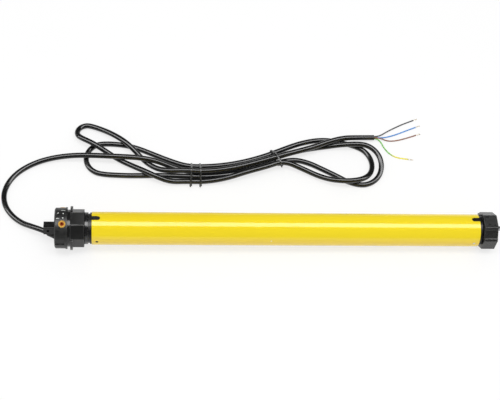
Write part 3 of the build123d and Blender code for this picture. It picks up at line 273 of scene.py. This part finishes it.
class Finish(Shading):
    """One material: a surface shader and the nodes that feed it."""

    edge_samples = 6

    def __init__(self, name, **fixed):
        self.material = bpy.data.materials.new(name)
        self.material.use_nodes = True
        super().__init__(self.material.node_tree)
        self.shader = self.tree.nodes["Principled BSDF"]
        for key, value in fixed.items():
            title = key.replace("_", " ").title().replace("Ior", "IOR")
            self.feed(self.shader.inputs[title], value)

    def place(self, stretch=(1.0, 1.0, 1.0)):
        """Where a point of the piece is, in metres, times a factor for each axis."""
        spot = self.node("ShaderNodeTexCoord", {}, {}, "Object")
        settings = {"operation": "MULTIPLY"}
        return self.node("ShaderNodeVectorMath", settings, {0: spot, 1: stretch})

    def along(self, axis):
        """The place's coordinate along X, Y or Z."""
        return self.node("ShaderNodeSeparateXYZ", {}, {0: self.place()}, axis)

    def noise(self, size, detail=2.0, stretch=(1.0, 1.0, 1.0)):
        """Noise whose spots are about size metres across, from 0 to 1."""
        inputs = {"Vector": self.place(stretch), "Scale": 1 / size, "Detail": detail}
        return self.node("ShaderNodeTexNoise", {}, inputs)

    def spread(self, pattern, low, high):
        """Spreads the middle of a noise pattern over low to high."""
        return self.step(pattern, 0.3, 0.7, low, high)

    def mix(self, share, first, second):
        """Mixes two colours, each a red, green and blue share or a mixed colour."""
        inputs = {0: share, 6: (*first, 1.0) if isinstance(first, tuple) else first}
        inputs[7] = (*second, 1.0) if isinstance(second, tuple) else second
        return self.node("ShaderNodeMix", {"data_type": "RGBA"}, inputs, 2)

    def worn_and_lit_edges(self, reach):
        """1 on the piece's sharp edges, fading to 0 at that distance from them."""
        flat = 0.995
        sharp = 0.94
        settings = {"samples": self.edge_samples}
        rounded = self.node("ShaderNodeBevel", settings, {"Radius": reach})
        plain = self.node("ShaderNodeNewGeometry", {}, {}, "Normal")
        settings = {"operation": "DOT_PRODUCT"}
        agreement = self.node("ShaderNodeVectorMath", settings, {0: rounded, 1: plain}, "Value")
        return self.step(agreement, flat, sharp)

    def colour(self, value):
        self.feed(self.shader.inputs["Base Color"], value)

    def roughness(self, value):
        self.feed(self.shader.inputs["Roughness"], value)

    def bump(self, height, depth, strength=1.0, rounding=0.0):
        """Fine relief. A rounding also softens the edges of the piece by that radius."""
        inputs = {"Height": height, "Distance": depth, "Strength": strength}
        if rounding:
            settings = {"samples": self.edge_samples}
            inputs["Normal"] = self.node("ShaderNodeBevel", settings, {"Radius": rounding})
        self.feed(self.shader.inputs["Normal"], self.node("ShaderNodeBump", {}, inputs))

    def paint(self, *pieces):
        for piece in pieces:
            piece.data.materials.clear()
            piece.data.materials.append(self.material)


# The jacket is extruded, so it is glossy with a faint ripple along it, and a little
# dust dulls its shine in patches.
clean_black = (0.0035, 0.0037, 0.0038)
dusty_black = (0.007, 0.0072, 0.0073)
dust_size = 0.03
ripple_size = 0.0035
ripple_depth = 0.00008
jacket = Finish("cable_pvc", specular_ior_level=0.4, coat_weight=0.35, coat_roughness=0.14)
dust = jacket.noise(dust_size, detail=3.0)
jacket.colour(jacket.mix(jacket.step(dust, 0.45, 0.7), clean_black, dusty_black))
jacket.roughness(jacket.step(dust, 0.35, 0.7, to_low=0.2, to_high=0.3))
jacket.bump(jacket.noise(ripple_size), ripple_depth, strength=0.5)
jacket.paint(mains_cable)

# Wire ties: flat plastic strips with a wire inside, bent round the waist. The two ends
# of each are twisted together on the near side and cut short.
tie_width = 2.0
tie_thickness = 0.8
tie_edge = 0.25
tie_gap = 0.3
tie_reach = cable_radius + tie_gap + tie_thickness / 2
tie_arc_steps = 10
twist_radius = 0.75
twist_length = 2.2
twist_turns = 0.75
twist_steps = 22
twist_flare = 0.9
flare_length_share = 0.25
tie_shares = (0.07, 0.16, 0.93)
# The outermost strands that each tie goes round, by their slots in the waist and lifts
strands_held = (
    ((-1.5, 0.0), (1.5, 0.0), (-0.03, top_strand_lift)),
    ((-1.5, 0.0), (1.5, 0.0), (-0.08, top_strand_lift)),
    ((-1.08, side_strand_lift), (-0.5, 0.0), (1.57, 0.0), (0.03, top_strand_lift)),
)
half_width = tie_width / 2
half_thickness = tie_thickness / 2
strip_outline = (
    (-half_width, -half_thickness + tie_edge), (-half_width + tie_edge, -half_thickness),
    (half_width - tie_edge, -half_thickness), (half_width, -half_thickness + tie_edge),
    (half_width, half_thickness - tie_edge), (half_width - tie_edge, half_thickness),
    (-half_width + tie_edge, half_thickness), (-half_width, half_thickness - tie_edge),
)


def wire_curve(name):
    """A curve for straight-stepped wires, as thick as the radius of their points."""
    curve = bpy.data.curves.new(name, "CURVE")
    curve.dimensions = "3D"
    curve.bevel_depth = 1.0
    curve.bevel_resolution = 4
    curve.use_fill_caps = True
    piece = bpy.data.objects.new(name, curve)
    scene.collection.objects.link(piece)
    return piece


def add_wire(piece, points, radius):
    spline = piece.data.splines.new("POLY")
    spline.points.add(len(points) - 1)
    for control, point in zip(spline.points, points):
        control.co = (*(point * millimetre), 1.0)
        control.radius = radius * millimetre


ties = []
for number, (tie_share, held) in enumerate(zip(tie_shares, strands_held), 1):
    middle = waist_point(tie_share, 0)
    aside = (waist_point(tie_share, 1) - middle).normalized()
    along = aside.cross(upright).normalized()
    above = along.cross(aside)
    # The strip goes round the outermost strands, with an arc on each.
    stations = [(slot * strand_pitch, lift) for slot, lift in held]
    strip = bmesh.new()
    rings = []
    for index, (across, height) in enumerate(stations):
        before = stations[index - 1]
        after = stations[(index + 1) % len(stations)]
        way_in = Vector((across - before[0], height - before[1])).normalized()
        way_out = Vector((after[0] - across, after[1] - height)).normalized()
        swing = way_in.angle(way_out)
        start = Vector((way_in.y, -way_in.x))
        for step in range(tie_arc_steps + 1):
            angle = swing * step / tie_arc_steps
            turned = (
                start.x * cos(angle) - start.y * sin(angle),
                start.x * sin(angle) + start.y * cos(angle),
            )
            out = aside * turned[0] + above * turned[1]
            spot = middle + aside * across + above * height + out * tie_reach
            rings.append([
                strip.verts.new((spot + along * side + out * depth) * millimetre)
                for side, depth in strip_outline
            ])
    for index, ring in enumerate(rings):
        before = rings[index - 1]
        for corner in range(len(ring)):
            strip.faces.new((before[corner], ring[corner], ring[corner - 1], before[corner - 1]))
    bmesh.ops.recalc_face_normals(strip, faces=strip.faces)
    tie_mesh = bpy.data.meshes.new(f"wire_tie_{number}")
    strip.to_mesh(tie_mesh)
    tie_mesh.shade_smooth()
    tie = bpy.data.objects.new(f"wire_tie_{number}", tie_mesh)
    scene.collection.objects.link(tie)
    # The twisted ends stand out of the strip's near side and flare where they are cut.
    twist = wire_curve(f"wire_tie_{number}_twist")
    root = middle + aside * (stations[0][0] - tie_reach) + above * stations[0][1]
    for half in (0, pi):
        strand = []
        for step in range(twist_steps + 1):
            share_out = step / twist_steps
            angle = half + 2 * pi * twist_turns * share_out
            flare = max(0.0, (share_out - 1) / flare_length_share + 1)
            radius = twist_radius * (1 + twist_flare * flare)
            offset = along * cos(angle) * radius + above * sin(angle) * radius
            strand.append(root - aside * twist_length * share_out + offset)
        add_wire(twist, strand, twist_radius)
    for piece in (tie, twist):
        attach(piece, "motor")
        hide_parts("cable_ties")
        ties.append(piece)
tie_finish = Finish("tie_strip", specular_ior_level=0.6, coat_weight=0.3)
tie_finish.colour(tie_finish.mix(tie_finish.noise(0.002), (0.014, 0.014, 0.014), (0.04, 0.04, 0.038)))
tie_finish.roughness(tie_finish.spread(tie_finish.noise(0.004), 0.28, 0.45))
tie_finish.paint(*ties)

# Cores: four PVC-covered wires that fan out of the jacket's cut end. Each ends in a
# bare bunch of tinned strands, lightly twisted.
core_radius = 0.75
core_spread = 1.2
core_start_run = 6.5
strand_radius = 0.16
strand_lay_radius = 0.33
outer_strands = 6
strand_fray = 0.25
tip_length = 6.2
tip_overlap = 0.4
tip_turns = 0.9
tip_steps = 14
stripe_change_x = (0.3855, 0.3925)
stripe_waver = 0.002
# Each core's angle round the jacket's axis, in degrees, and the places where it lies
core_routes = {
    "black": (45.0, ((386.0, 144.0), (401.0, 152.4), (410.5, 156.9), (418.4, 160.2))),
    "blue": (
        315.0, ((379.5, 134.8), (390.0, 137.5), (399.0, 141.0), (411.0, 146.5), (420.2, 150.4))
    ),
    "brown": (135.0, ((385.0, 130.3), (395.0, 131.0), (407.0, 134.5), (419.4, 139.2))),
    "earth": (
        225.0, ((380.0, 120.5), (385.0, 113.0), (392.0, 108.0), (399.0, 106.5), (406.2, 105.4))
    ),
}
core_colours = {
    "black": ((0.012, 0.012, 0.013), (0.03, 0.03, 0.032)),
    "blue": ((0.035, 0.21, 0.62), (0.09, 0.33, 0.74)),
    "brown": ((0.19, 0.065, 0.035), (0.29, 0.12, 0.07)),
    "earth": ((0.16, 0.5, 0.07), (0.84, 0.75, 0.04)),
}
tin = Finish("tinned_copper", metallic=0.9)
tin.colour(tin.mix(tin.noise(0.0012), (0.55, 0.46, 0.34), (0.72, 0.68, 0.6)))
tin.roughness(tin.spread(tin.noise(0.0008), 0.3, 0.45))
jacket_end = cable_points[-1]
jacket_way = (cable_points[-1] - cable_points[-2]).normalized()
end_across = (Vector((0, 1, 0)) - jacket_way * jacket_way.y).normalized()
end_above = jacket_way.cross(end_across)
for name, (angle, places) in core_routes.items():
    offset = end_across * cos(radians(angle)) + end_above * sin(radians(angle))
    start = jacket_end + offset * core_spread
    core_points = [start, start + jacket_way * core_start_run]
    core_points += [laid(core_radius, x, y) for x, y in places]
    core = cord_curve(f"core_{name}_wire", core_points, core_radius)
    tip = wire_curve(f"core_{name}_tip")
    way = (core_points[-1] - core_points[-2]).normalized()
    side = way.cross(upright).normalized()
    top = side.cross(way)
    # Strand 0 runs in the middle, and the others lie round it.
    for strand_number in range(outer_strands + 1):
        reach = strand_lay_radius if strand_number else 0.0
        strand = []
        for step in range(tip_steps + 1):
            share_out = step / tip_steps
            angle = 2 * pi * (strand_number / outer_strands + tip_turns * share_out)
            frayed = reach * (1 + strand_fray * share_out * (strand_number % 3))
            around = side * cos(angle) * frayed + top * sin(angle) * frayed
            run_out = tip_length * share_out - tip_overlap
            strand.append(core_points[-1] + way * run_out + around)
        add_wire(tip, strand, strand_radius)
    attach(core, "motor")
    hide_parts(f"core_{name}")
    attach(tip, "motor")
    tin.paint(tip)
    cover = Finish(f"core_{name}_cover", coat_weight=0.3)
    if name == "earth":
        edge = cover.along("X") + cover.noise(0.004) * stripe_waver
        pattern = cover.step(edge, *stripe_change_x)
    else:
        pattern = cover.noise(0.01)
    cover.colour(cover.mix(pattern, *core_colours[name]))
    cover.roughness(cover.spread(cover.noise(0.006), 0.3, 0.42))
    cover.paint(core)
    tuple(start * millimetre)

# Table and light: a white sheet under the motor, an even sky for the fill, and a long
# soft light overhead, which the glossy surfaces show as one pale band. In their gloss
# the rest of the room is dim, as round a table in a studio.
table_size = 6.0
table_centre = Vector((0.2, 0.2))
table_glow_share = 0.72
table_glow_level = 1.02
square_corners = ((-1, -1), (1, -1), (1, 1), (-1, 1))
plain_white = (1.0, 1.0, 1.0, 1.0)
table_mesh = bpy.data.meshes.new("table")
table_corners = []
for x_side, y_side in square_corners:
    x = table_centre.x + x_side * table_size / 2
    y = table_centre.y + y_side * table_size / 2
    table_corners.append((x, y, laid(0.0, x / millimetre, y / millimetre).z * millimetre))
table_mesh.from_pydata(table_corners, [], [(0, 1, 2, 3)])
table = bpy.data.objects.new("table", table_mesh)
scene.collection.objects.link(table)
paper = Finish("white_table", roughness=1.0, specular_ior_level=0.0)
paper.colour(paper.mix(paper.noise(0.05), (0.93, 0.93, 0.93), (0.95, 0.95, 0.95)))
paper_seen = paper.node("ShaderNodeLightPath", {}, {}, "Is Camera Ray")
paper_mirrored = paper.node("ShaderNodeLightPath", {}, {}, "Is Glossy Ray")
glow_share = (paper_seen + paper_mirrored) * table_glow_share
glow = paper.node("ShaderNodeEmission", {}, {"Color": plain_white, "Strength": table_glow_level})
matt = Value(paper, paper.shader.outputs[0])
sheet = paper.node("ShaderNodeMixShader", {}, {0: glow_share, 1: matt, 2: glow})
paper.feed(paper.tree.nodes["Material Output"].inputs["Surface"], sheet)
paper.paint(table)

sky_level = 0.62
sky_gloss_level = 0.10
backdrop_level = 1.0
strip_level = 7.5
strip_half_width = tan(radians(14.0))
strip_edge = 0.04
strip_floor = 0.2
world = bpy.data.worlds.new("studio")
scene.world = world
world.use_nodes = True
sky = Shading(world.node_tree)
sky_way = sky.node("ShaderNodeTexCoord", {}, {}, "Generated")
sky_side = sky.node("ShaderNodeSeparateXYZ", {}, {0: sky_way}, "Y")
sky_height = sky.node("ShaderNodeSeparateXYZ", {}, {0: sky_way}, "Z")
slant = sky.node("ShaderNodeMath", {"operation": "ABSOLUTE"}, {0: sky_side}) / sky_height
strip_light = sky.step(slant, strip_half_width + strip_edge, strip_half_width - strip_edge)
high = sky.node("ShaderNodeMath", {"operation": "GREATER_THAN"}, {0: sky_height, 1: strip_floor})
sky_seen = sky.node("ShaderNodeLightPath", {}, {}, "Is Camera Ray")
sky_mirrored = sky.node("ShaderNodeLightPath", {}, {}, "Is Glossy Ray")
gloss = strip_light * high * strip_level + (sky_gloss_level - sky_level)
level_there = sky_seen * (backdrop_level - sky_level) + sky_mirrored * gloss + sky_level
sky.feed(sky.tree.nodes["Background"].inputs["Strength"], level_there)
sky.feed(sky.tree.nodes["Background"].inputs["Color"], plain_white)

key_power = 15.0
key_size = (1.6, 0.5)
key_place = Vector((0.2, -0.15, 1.7))
key_data = bpy.data.lights.new("overhead_light", "AREA")
key_data.shape = "RECTANGLE"
key_data.size, key_data.size_y = key_size
key_data.energy = key_power
key = bpy.data.objects.new("overhead_light", key_data)
key.location = key_place
key.visible_glossy = False
scene.collection.objects.link(key)
scene.view_settings.view_transform = "Standard"

# Motor tube: drawn steel with a glossy yellow enamel that ripples a little along the
# tube. Low on its front it is painted warmer and darker, as painted shade, and one
# small pale spot there is a painted highlight.
enamel_lean = (0.875, 0.655, 0.010)
enamel_rich = (0.905, 0.70, 0.016)
enamel_painted_shade = (0.9, 0.56, 0.1)
painted_shade_share = 0.35
painted_shade_band_y = (-0.0178, -0.0150)
glint_place = (0.23967, -0.017105, 0.003698)
glint_radius = 0.0011
glint_core_share = 0.6
glint_share = 0.7
glint_colour = (0.9, 0.86, 0.6)
enamel = Finish("yellow_enamel", specular_ior_level=0.15, coat_weight=0.75, coat_roughness=0.04)
drift = enamel.noise(0.05, stretch=(0.2, 1.0, 1.0))
tone = enamel.mix(enamel.step(drift, 0.35, 0.65), enamel_lean, enamel_rich)
# Painted shade: the enamel turns warmer and a little darker along the tube's lower front.
painted_shade = enamel.step(enamel.along("Y"), *painted_shade_band_y, to_low=1.0, to_high=0.0)
tone = enamel.mix(painted_shade * painted_shade_share, tone, enamel_painted_shade)
# Painted highlight: a small pale spot on the tube's lower front, blended into the enamel.
apart = {0: enamel.place(), 1: glint_place}
distance = enamel.node("ShaderNodeVectorMath", {"operation": "DISTANCE"}, apart, "Value")
glint_core = glint_radius * glint_core_share
glint = enamel.step(distance, glint_core, glint_radius, to_low=1.0, to_high=0.0)
enamel.colour(enamel.mix(glint * glint_share, tone, glint_colour))
haze = enamel.noise(0.02, detail=3.0)
enamel.roughness(enamel.step(haze, 0.35, 0.7, to_low=0.34, to_high=0.44))
ripple = enamel.noise(0.006, stretch=(0.25, 1.0, 1.0))
enamel.bump(ripple, depth=0.00004, strength=0.35)
enamel.paint(nodes["motor_tube"])

# Head, crown, plugs and drive wheel: glass-filled nylon, moulded with a fine eroded
# grain. Handling leaves slightly paler, duller patches, the edges are painted grey, part
# wear and part painted highlight, and the head's groove stays smoother than the rest.
grain_size = 0.0006
grain_depth = 0.00003
patch_size = 0.012
edge_patch_size = 0.004
dark_tint = (1.0, 1.01, 1.0)
pale_tint = (1.45, 1.47, 1.44)
dulling = 1.33
wear_and_highlight_rise = 0.055
groove_start = 0.0251
groove_end = 0.0281
groove_edge = 0.0002
groove_smoothing = 0.5
for name, base, rounding, rough in (
    ("head_body", 0.010, 0.0003, 0.36), ("crown", 0.010, 0.0016, 0.28),
    ("front_plug", 0.004, 0.0002, 0.36), ("rear_plug", 0.004, 0.0002, 0.36),
    ("drive_wheel", 0.020, 0.0012, 0.24),
):
    nylon = Finish(f"{name}_nylon", specular_ior_level=0.45)
    patches = nylon.noise(patch_size, detail=3.0)
    dark = tuple(base * part for part in dark_tint)
    pale = tuple(base * part for part in pale_tint)
    skin = nylon.mix(nylon.step(patches, 0.4, 0.75), dark, pale)
    edge_patchiness = nylon.step(nylon.noise(edge_patch_size), 0.25, 0.6, to_low=0.5)
    # Wear and painted highlight: the sharp edges are painted paler grey, in patches.
    wear_and_highlight = nylon.worn_and_lit_edges(rounding) * edge_patchiness
    nylon.colour(nylon.mix(wear_and_highlight, skin, (base + wear_and_highlight_rise,) * 3))
    dullness = nylon.step(patches, 0.3, 0.75, to_low=rough, to_high=rough * dulling)
    if name == "head_body":
        past_start = nylon.step(nylon.along("X"), groove_start - groove_edge, groove_start)
        past_end = nylon.step(nylon.along("X"), groove_end, groove_end + groove_edge)
        dullness = dullness * (1 - (past_start - past_end) * groove_smoothing)
    nylon.roughness(dullness)
    nylon.bump(nylon.noise(grain_size), grain_depth, strength=0.5, rounding=rounding)
    nylon.paint(nodes[name])

# Retaining ring: polished black acetal, the shiniest piece of the head end. It sits
# on the neck and keeps the crown there.
acetal = Finish("ring_acetal", coat_weight=0.2, coat_roughness=0.08)
acetal.colour(acetal.mix(acetal.noise(0.01), (0.007, 0.007, 0.0075), (0.012, 0.012, 0.0125)))
acetal.roughness(acetal.spread(acetal.noise(0.006, detail=3.0), 0.2, 0.3))
acetal.paint(nodes["crown_retainer"])

# Cable gland: soft black rubber boot, pressed into the head's front wall. Its bent
# nose leads the cable out sideways.
boot = Finish("gland_rubber_skin")
bloom = boot.noise(0.004, detail=3.0)
boot.colour(boot.mix(bloom, (0.008, 0.008, 0.008), (0.016, 0.016, 0.0155)))
boot.roughness(boot.spread(boot.noise(0.002), 0.5, 0.68))
boot.bump(boot.noise(0.0008), depth=0.00005, strength=0.5)
boot.paint(nodes["cable_gland"])

# Printed marks on the head: two small arrows, two dots and a dash in white ink, which
# tell the turning direction of each limit screw. They follow the disc's curve.
disc_radius = 21.45
ink_rise = 0.05
ink_root = 0.05
dot_corners = 12
dot_radius = 0.75
dash_size = (4.2, 0.7)
# Each mark's x and its angle up from the back, in degrees, then an arrow's lean
arrow_marks = ((15.4, 75.5, -50.0), (15.4, 93.5, 180.0))
dot_marks = ((20.9, 76.5), (20.6, 92.0))
dash_mark = (20.9, 62.5)
arrow_half_length = 1.6
arrow_outline_shares = (
    (-1.0, -0.16), (0.2, -0.16), (0.2, -0.62), (1.0, 0.0), (0.2, 0.62), (0.2, 0.16), (-1.0, 0.16)
)
marks = bmesh.new()


def ink(centre, outline):
    """Adds one mark: its centre's x and angle on the disc, and its outline in millimetres."""
    rings = []
    for radius in (disc_radius - ink_root, disc_radius + ink_rise):
        ring = []
        for across, around in outline:
            angle = radians(centre[1]) + around / disc_radius
            spot = Vector((centre[0] + across, radius * cos(angle), radius * sin(angle)))
            ring.append(marks.verts.new(spot * millimetre))
        rings.append(ring)
    marks.faces.new(rings[0][::-1])
    marks.faces.new(rings[1])
    for index in range(len(outline)):
        after = (index + 1) % len(outline)
        marks.faces.new((rings[0][index], rings[0][after], rings[1][after], rings[1][index]))


for x, angle, lean in arrow_marks:
    tilt = radians(lean)
    outline = []
    for across_share, around_share in arrow_outline_shares:
        across = across_share * arrow_half_length
        around = around_share * arrow_half_length
        outline.append((
            across * cos(tilt) - around * sin(tilt), across * sin(tilt) + around * cos(tilt)
        ))
    ink((x, angle), outline)
dot_angles = [2 * pi * index / dot_corners for index in range(dot_corners)]
for mark in dot_marks:
    ink(mark, [(dot_radius * cos(angle), dot_radius * sin(angle)) for angle in dot_angles])
ink(dash_mark, [(dash_size[0] / 2 * x, dash_size[1] / 2 * y) for x, y in square_corners])
bmesh.ops.recalc_face_normals(marks, faces=marks.faces)
marks_mesh = bpy.data.meshes.new("head_marks")
marks.to_mesh(marks_mesh)
head_marks = bpy.data.objects.new("head_marks", marks_mesh)
scene.collection.objects.link(head_marks)
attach(head_marks, "motor")
white_ink = Finish("white_ink")
flecks = white_ink.noise(0.0005, detail=3.0)
white_ink.colour(white_ink.mix(flecks, (0.5, 0.52, 0.5), (0.86, 0.87, 0.85)))
white_ink.roughness(white_ink.spread(white_ink.noise(0.001), 0.5, 0.65))
white_ink.paint(head_marks)

# Limit screws and their bushes: orange guide bushes of glossy acetal, and red-brown
# screws whose hex sockets take the setting key.
bush_colours = ((0.40, 0.20, 0.015), (0.60, 0.34, 0.03))
screw_colours = ((0.20, 0.020, 0.002), (0.34, 0.050, 0.003))
for name, colours, gloss_level in (
    ("limit_bushes", bush_colours, 0.25),
    ("limit_screw_up", screw_colours, 0.1),
    ("limit_screw_down", screw_colours, 0.1),
):
    guide = Finish(f"{name}_acetal", specular_ior_level=gloss_level)
    guide.colour(guide.mix(guide.noise(0.002), *colours))
    guide.roughness(guide.spread(guide.noise(0.001), 0.28, 0.42))
    guide.paint(nodes[name])

# Metal pieces: the blackened stub, zinc-plated clip and shaft, ground pins, turned
# carriers and gears, cast shields, stacked sheets and bronze bushes. The tool marks of
# each run round or along its axis, as their stretch says.
metals = (
    # Nodes, dark and pale colour, metallic share, roughness, stretch of the tool marks
    (
        ("bracket_stub", "stub_screws"),
        (0.006, 0.006, 0.0062), (0.018, 0.018, 0.0185), 0.3, 0.34, (1.0, 4.0, 4.0),
    ), (
        ("wheel_clip", "output_shaft"),
        (0.08, 0.08, 0.085), (0.16, 0.16, 0.165), 0.8, 0.32, (5.0, 1.0, 1.0),
    ), (
        ("rotor_shaft", "planet_pins_1", "planet_pins_2", "planet_pins_3"),
        (0.45, 0.45, 0.46), (0.6, 0.6, 0.61), 1.0, 0.25, (6.0, 1.0, 1.0),
    ), (
        ("carrier_1", "carrier_2", "brake_spring"),
        (0.3, 0.3, 0.31), (0.45, 0.45, 0.46), 1.0, 0.35, (2.0, 1.0, 1.0),
    ), (
        tuple(f"planet_{stage}_{place}" for stage in (1, 2, 3) for place in (1, 2, 3)),
        (0.38, 0.37, 0.35), (0.55, 0.54, 0.51), 1.0, 0.3, (3.0, 1.0, 1.0),
    ), (
        ("front_shield", "rear_shield", "rotor_core"),
        (0.5, 0.5, 0.51), (0.66, 0.66, 0.67), 1.0, 0.42, (1.0, 1.0, 1.0),
    ), (
        ("stator_core", "brake_pot", "brake_armature"),
        (0.12, 0.12, 0.125), (0.24, 0.23, 0.22), 0.9, 0.5, (40.0, 1.0, 1.0),
    ), (
        ("shaft_bushes",),
        (0.5, 0.3, 0.12), (0.68, 0.44, 0.2), 1.0, 0.38, (1.0, 1.0, 1.0),
    ),
)
for names, dark, pale, metallic, rough, stretch in metals:
    steel = Finish(f"{names[0]}_metal", metallic=metallic)
    tool_marks = steel.noise(0.003, detail=4.0, stretch=stretch)
    steel.colour(steel.mix(tool_marks, dark, pale))
    steel.roughness(steel.spread(tool_marks, rough * 0.8, rough * 1.25))
    steel.bump(tool_marks, depth=0.00002, strength=0.4)
    steel.paint(*(nodes[name] for name in names))

# Tube pins: short steel pins pressed through the tube into its plugs. Those by the head
# are painted near black, as painted shade in their holes, and those by the drive wheel
# are plated bright.
pin_change_x = 0.25
pin_change_reach = 0.01
pin_painted_shade = (0.02, 0.006, 0.008)
pin_plated = ((0.60, 0.57, 0.45), (0.82, 0.79, 0.66))
pin_steel = Finish("tube_pins_metal", metallic=0.4)
plated = pin_steel.step(
    pin_steel.along("X"), pin_change_x - pin_change_reach, pin_change_x + pin_change_reach
)
bright = pin_steel.mix(pin_steel.noise(0.001), *pin_plated)
# Painted shade: the pins by the head are coloured near black, like the shade in their holes.
pin_steel.colour(pin_steel.mix(plated, pin_painted_shade, bright))
pin_steel.roughness(pin_steel.spread(pin_steel.noise(0.0007), 0.32, 0.5))
pin_steel.paint(nodes["tube_pins"])

# Windings of the motor and the brake: enamelled copper wire, lacquered, in close turns
# that run along the stator and round the brake's core.
for name, stretch in (("stator_winding", (0.15, 1.0, 1.0)), ("brake_coil", (1.0, 0.15, 0.15))):
    copper = Finish(f"{name}_copper", metallic=0.8, coat_weight=0.5, coat_roughness=0.1)
    turns = copper.noise(0.0007, detail=1.0, stretch=stretch)
    copper.colour(copper.mix(turns, (0.28, 0.08, 0.03), (0.72, 0.3, 0.12)))
    copper.roughness(copper.spread(turns, 0.25, 0.45))
    copper.bump(turns, depth=0.0002, strength=0.8)
    copper.paint(nodes[name])

# Hidden plastic and lining: white nylon limit gears and capacitor cup, dark switches with
# red plungers, the capacitor's case, the gearbox and the brake's friction disc.
plastics = (
    # Nodes, dark and pale colour, roughness
    (
        ("limit_cage", "limit_pinion", "counting_wheel_up", "counting_wheel_down"),
        (0.7, 0.69, 0.63), (0.8, 0.79, 0.74), 0.4,
    ),
    (("capacitor_holder",), (0.62, 0.62, 0.58), (0.72, 0.72, 0.68), 0.5),
    (("limit_switches",), (0.03, 0.03, 0.034), (0.06, 0.06, 0.065), 0.45),
    (("switch_plunger_up", "switch_plunger_down"), (0.5, 0.03, 0.02), (0.65, 0.06, 0.04), 0.35),
    (("capacitor",), (0.68, 0.69, 0.71), (0.8, 0.81, 0.82), 0.35),
    (("gearbox_housing", "gearbox_cap"), (0.12, 0.125, 0.13), (0.2, 0.21, 0.22), 0.5),
    (("brake_disc",), (0.07, 0.055, 0.045), (0.17, 0.14, 0.11), 0.85),
)
for names, dark, pale, rough in plastics:
    plastic = Finish(f"{names[0]}_plastic")
    cloud = plastic.noise(0.004, detail=3.0)
    plastic.colour(plastic.mix(cloud, dark, pale))
    plastic.roughness(plastic.spread(cloud, rough * 0.85, rough * 1.15))
    plastic.bump(plastic.noise(0.0008), depth=0.00003, strength=0.5)
    plastic.paint(*(nodes[name] for name in names))
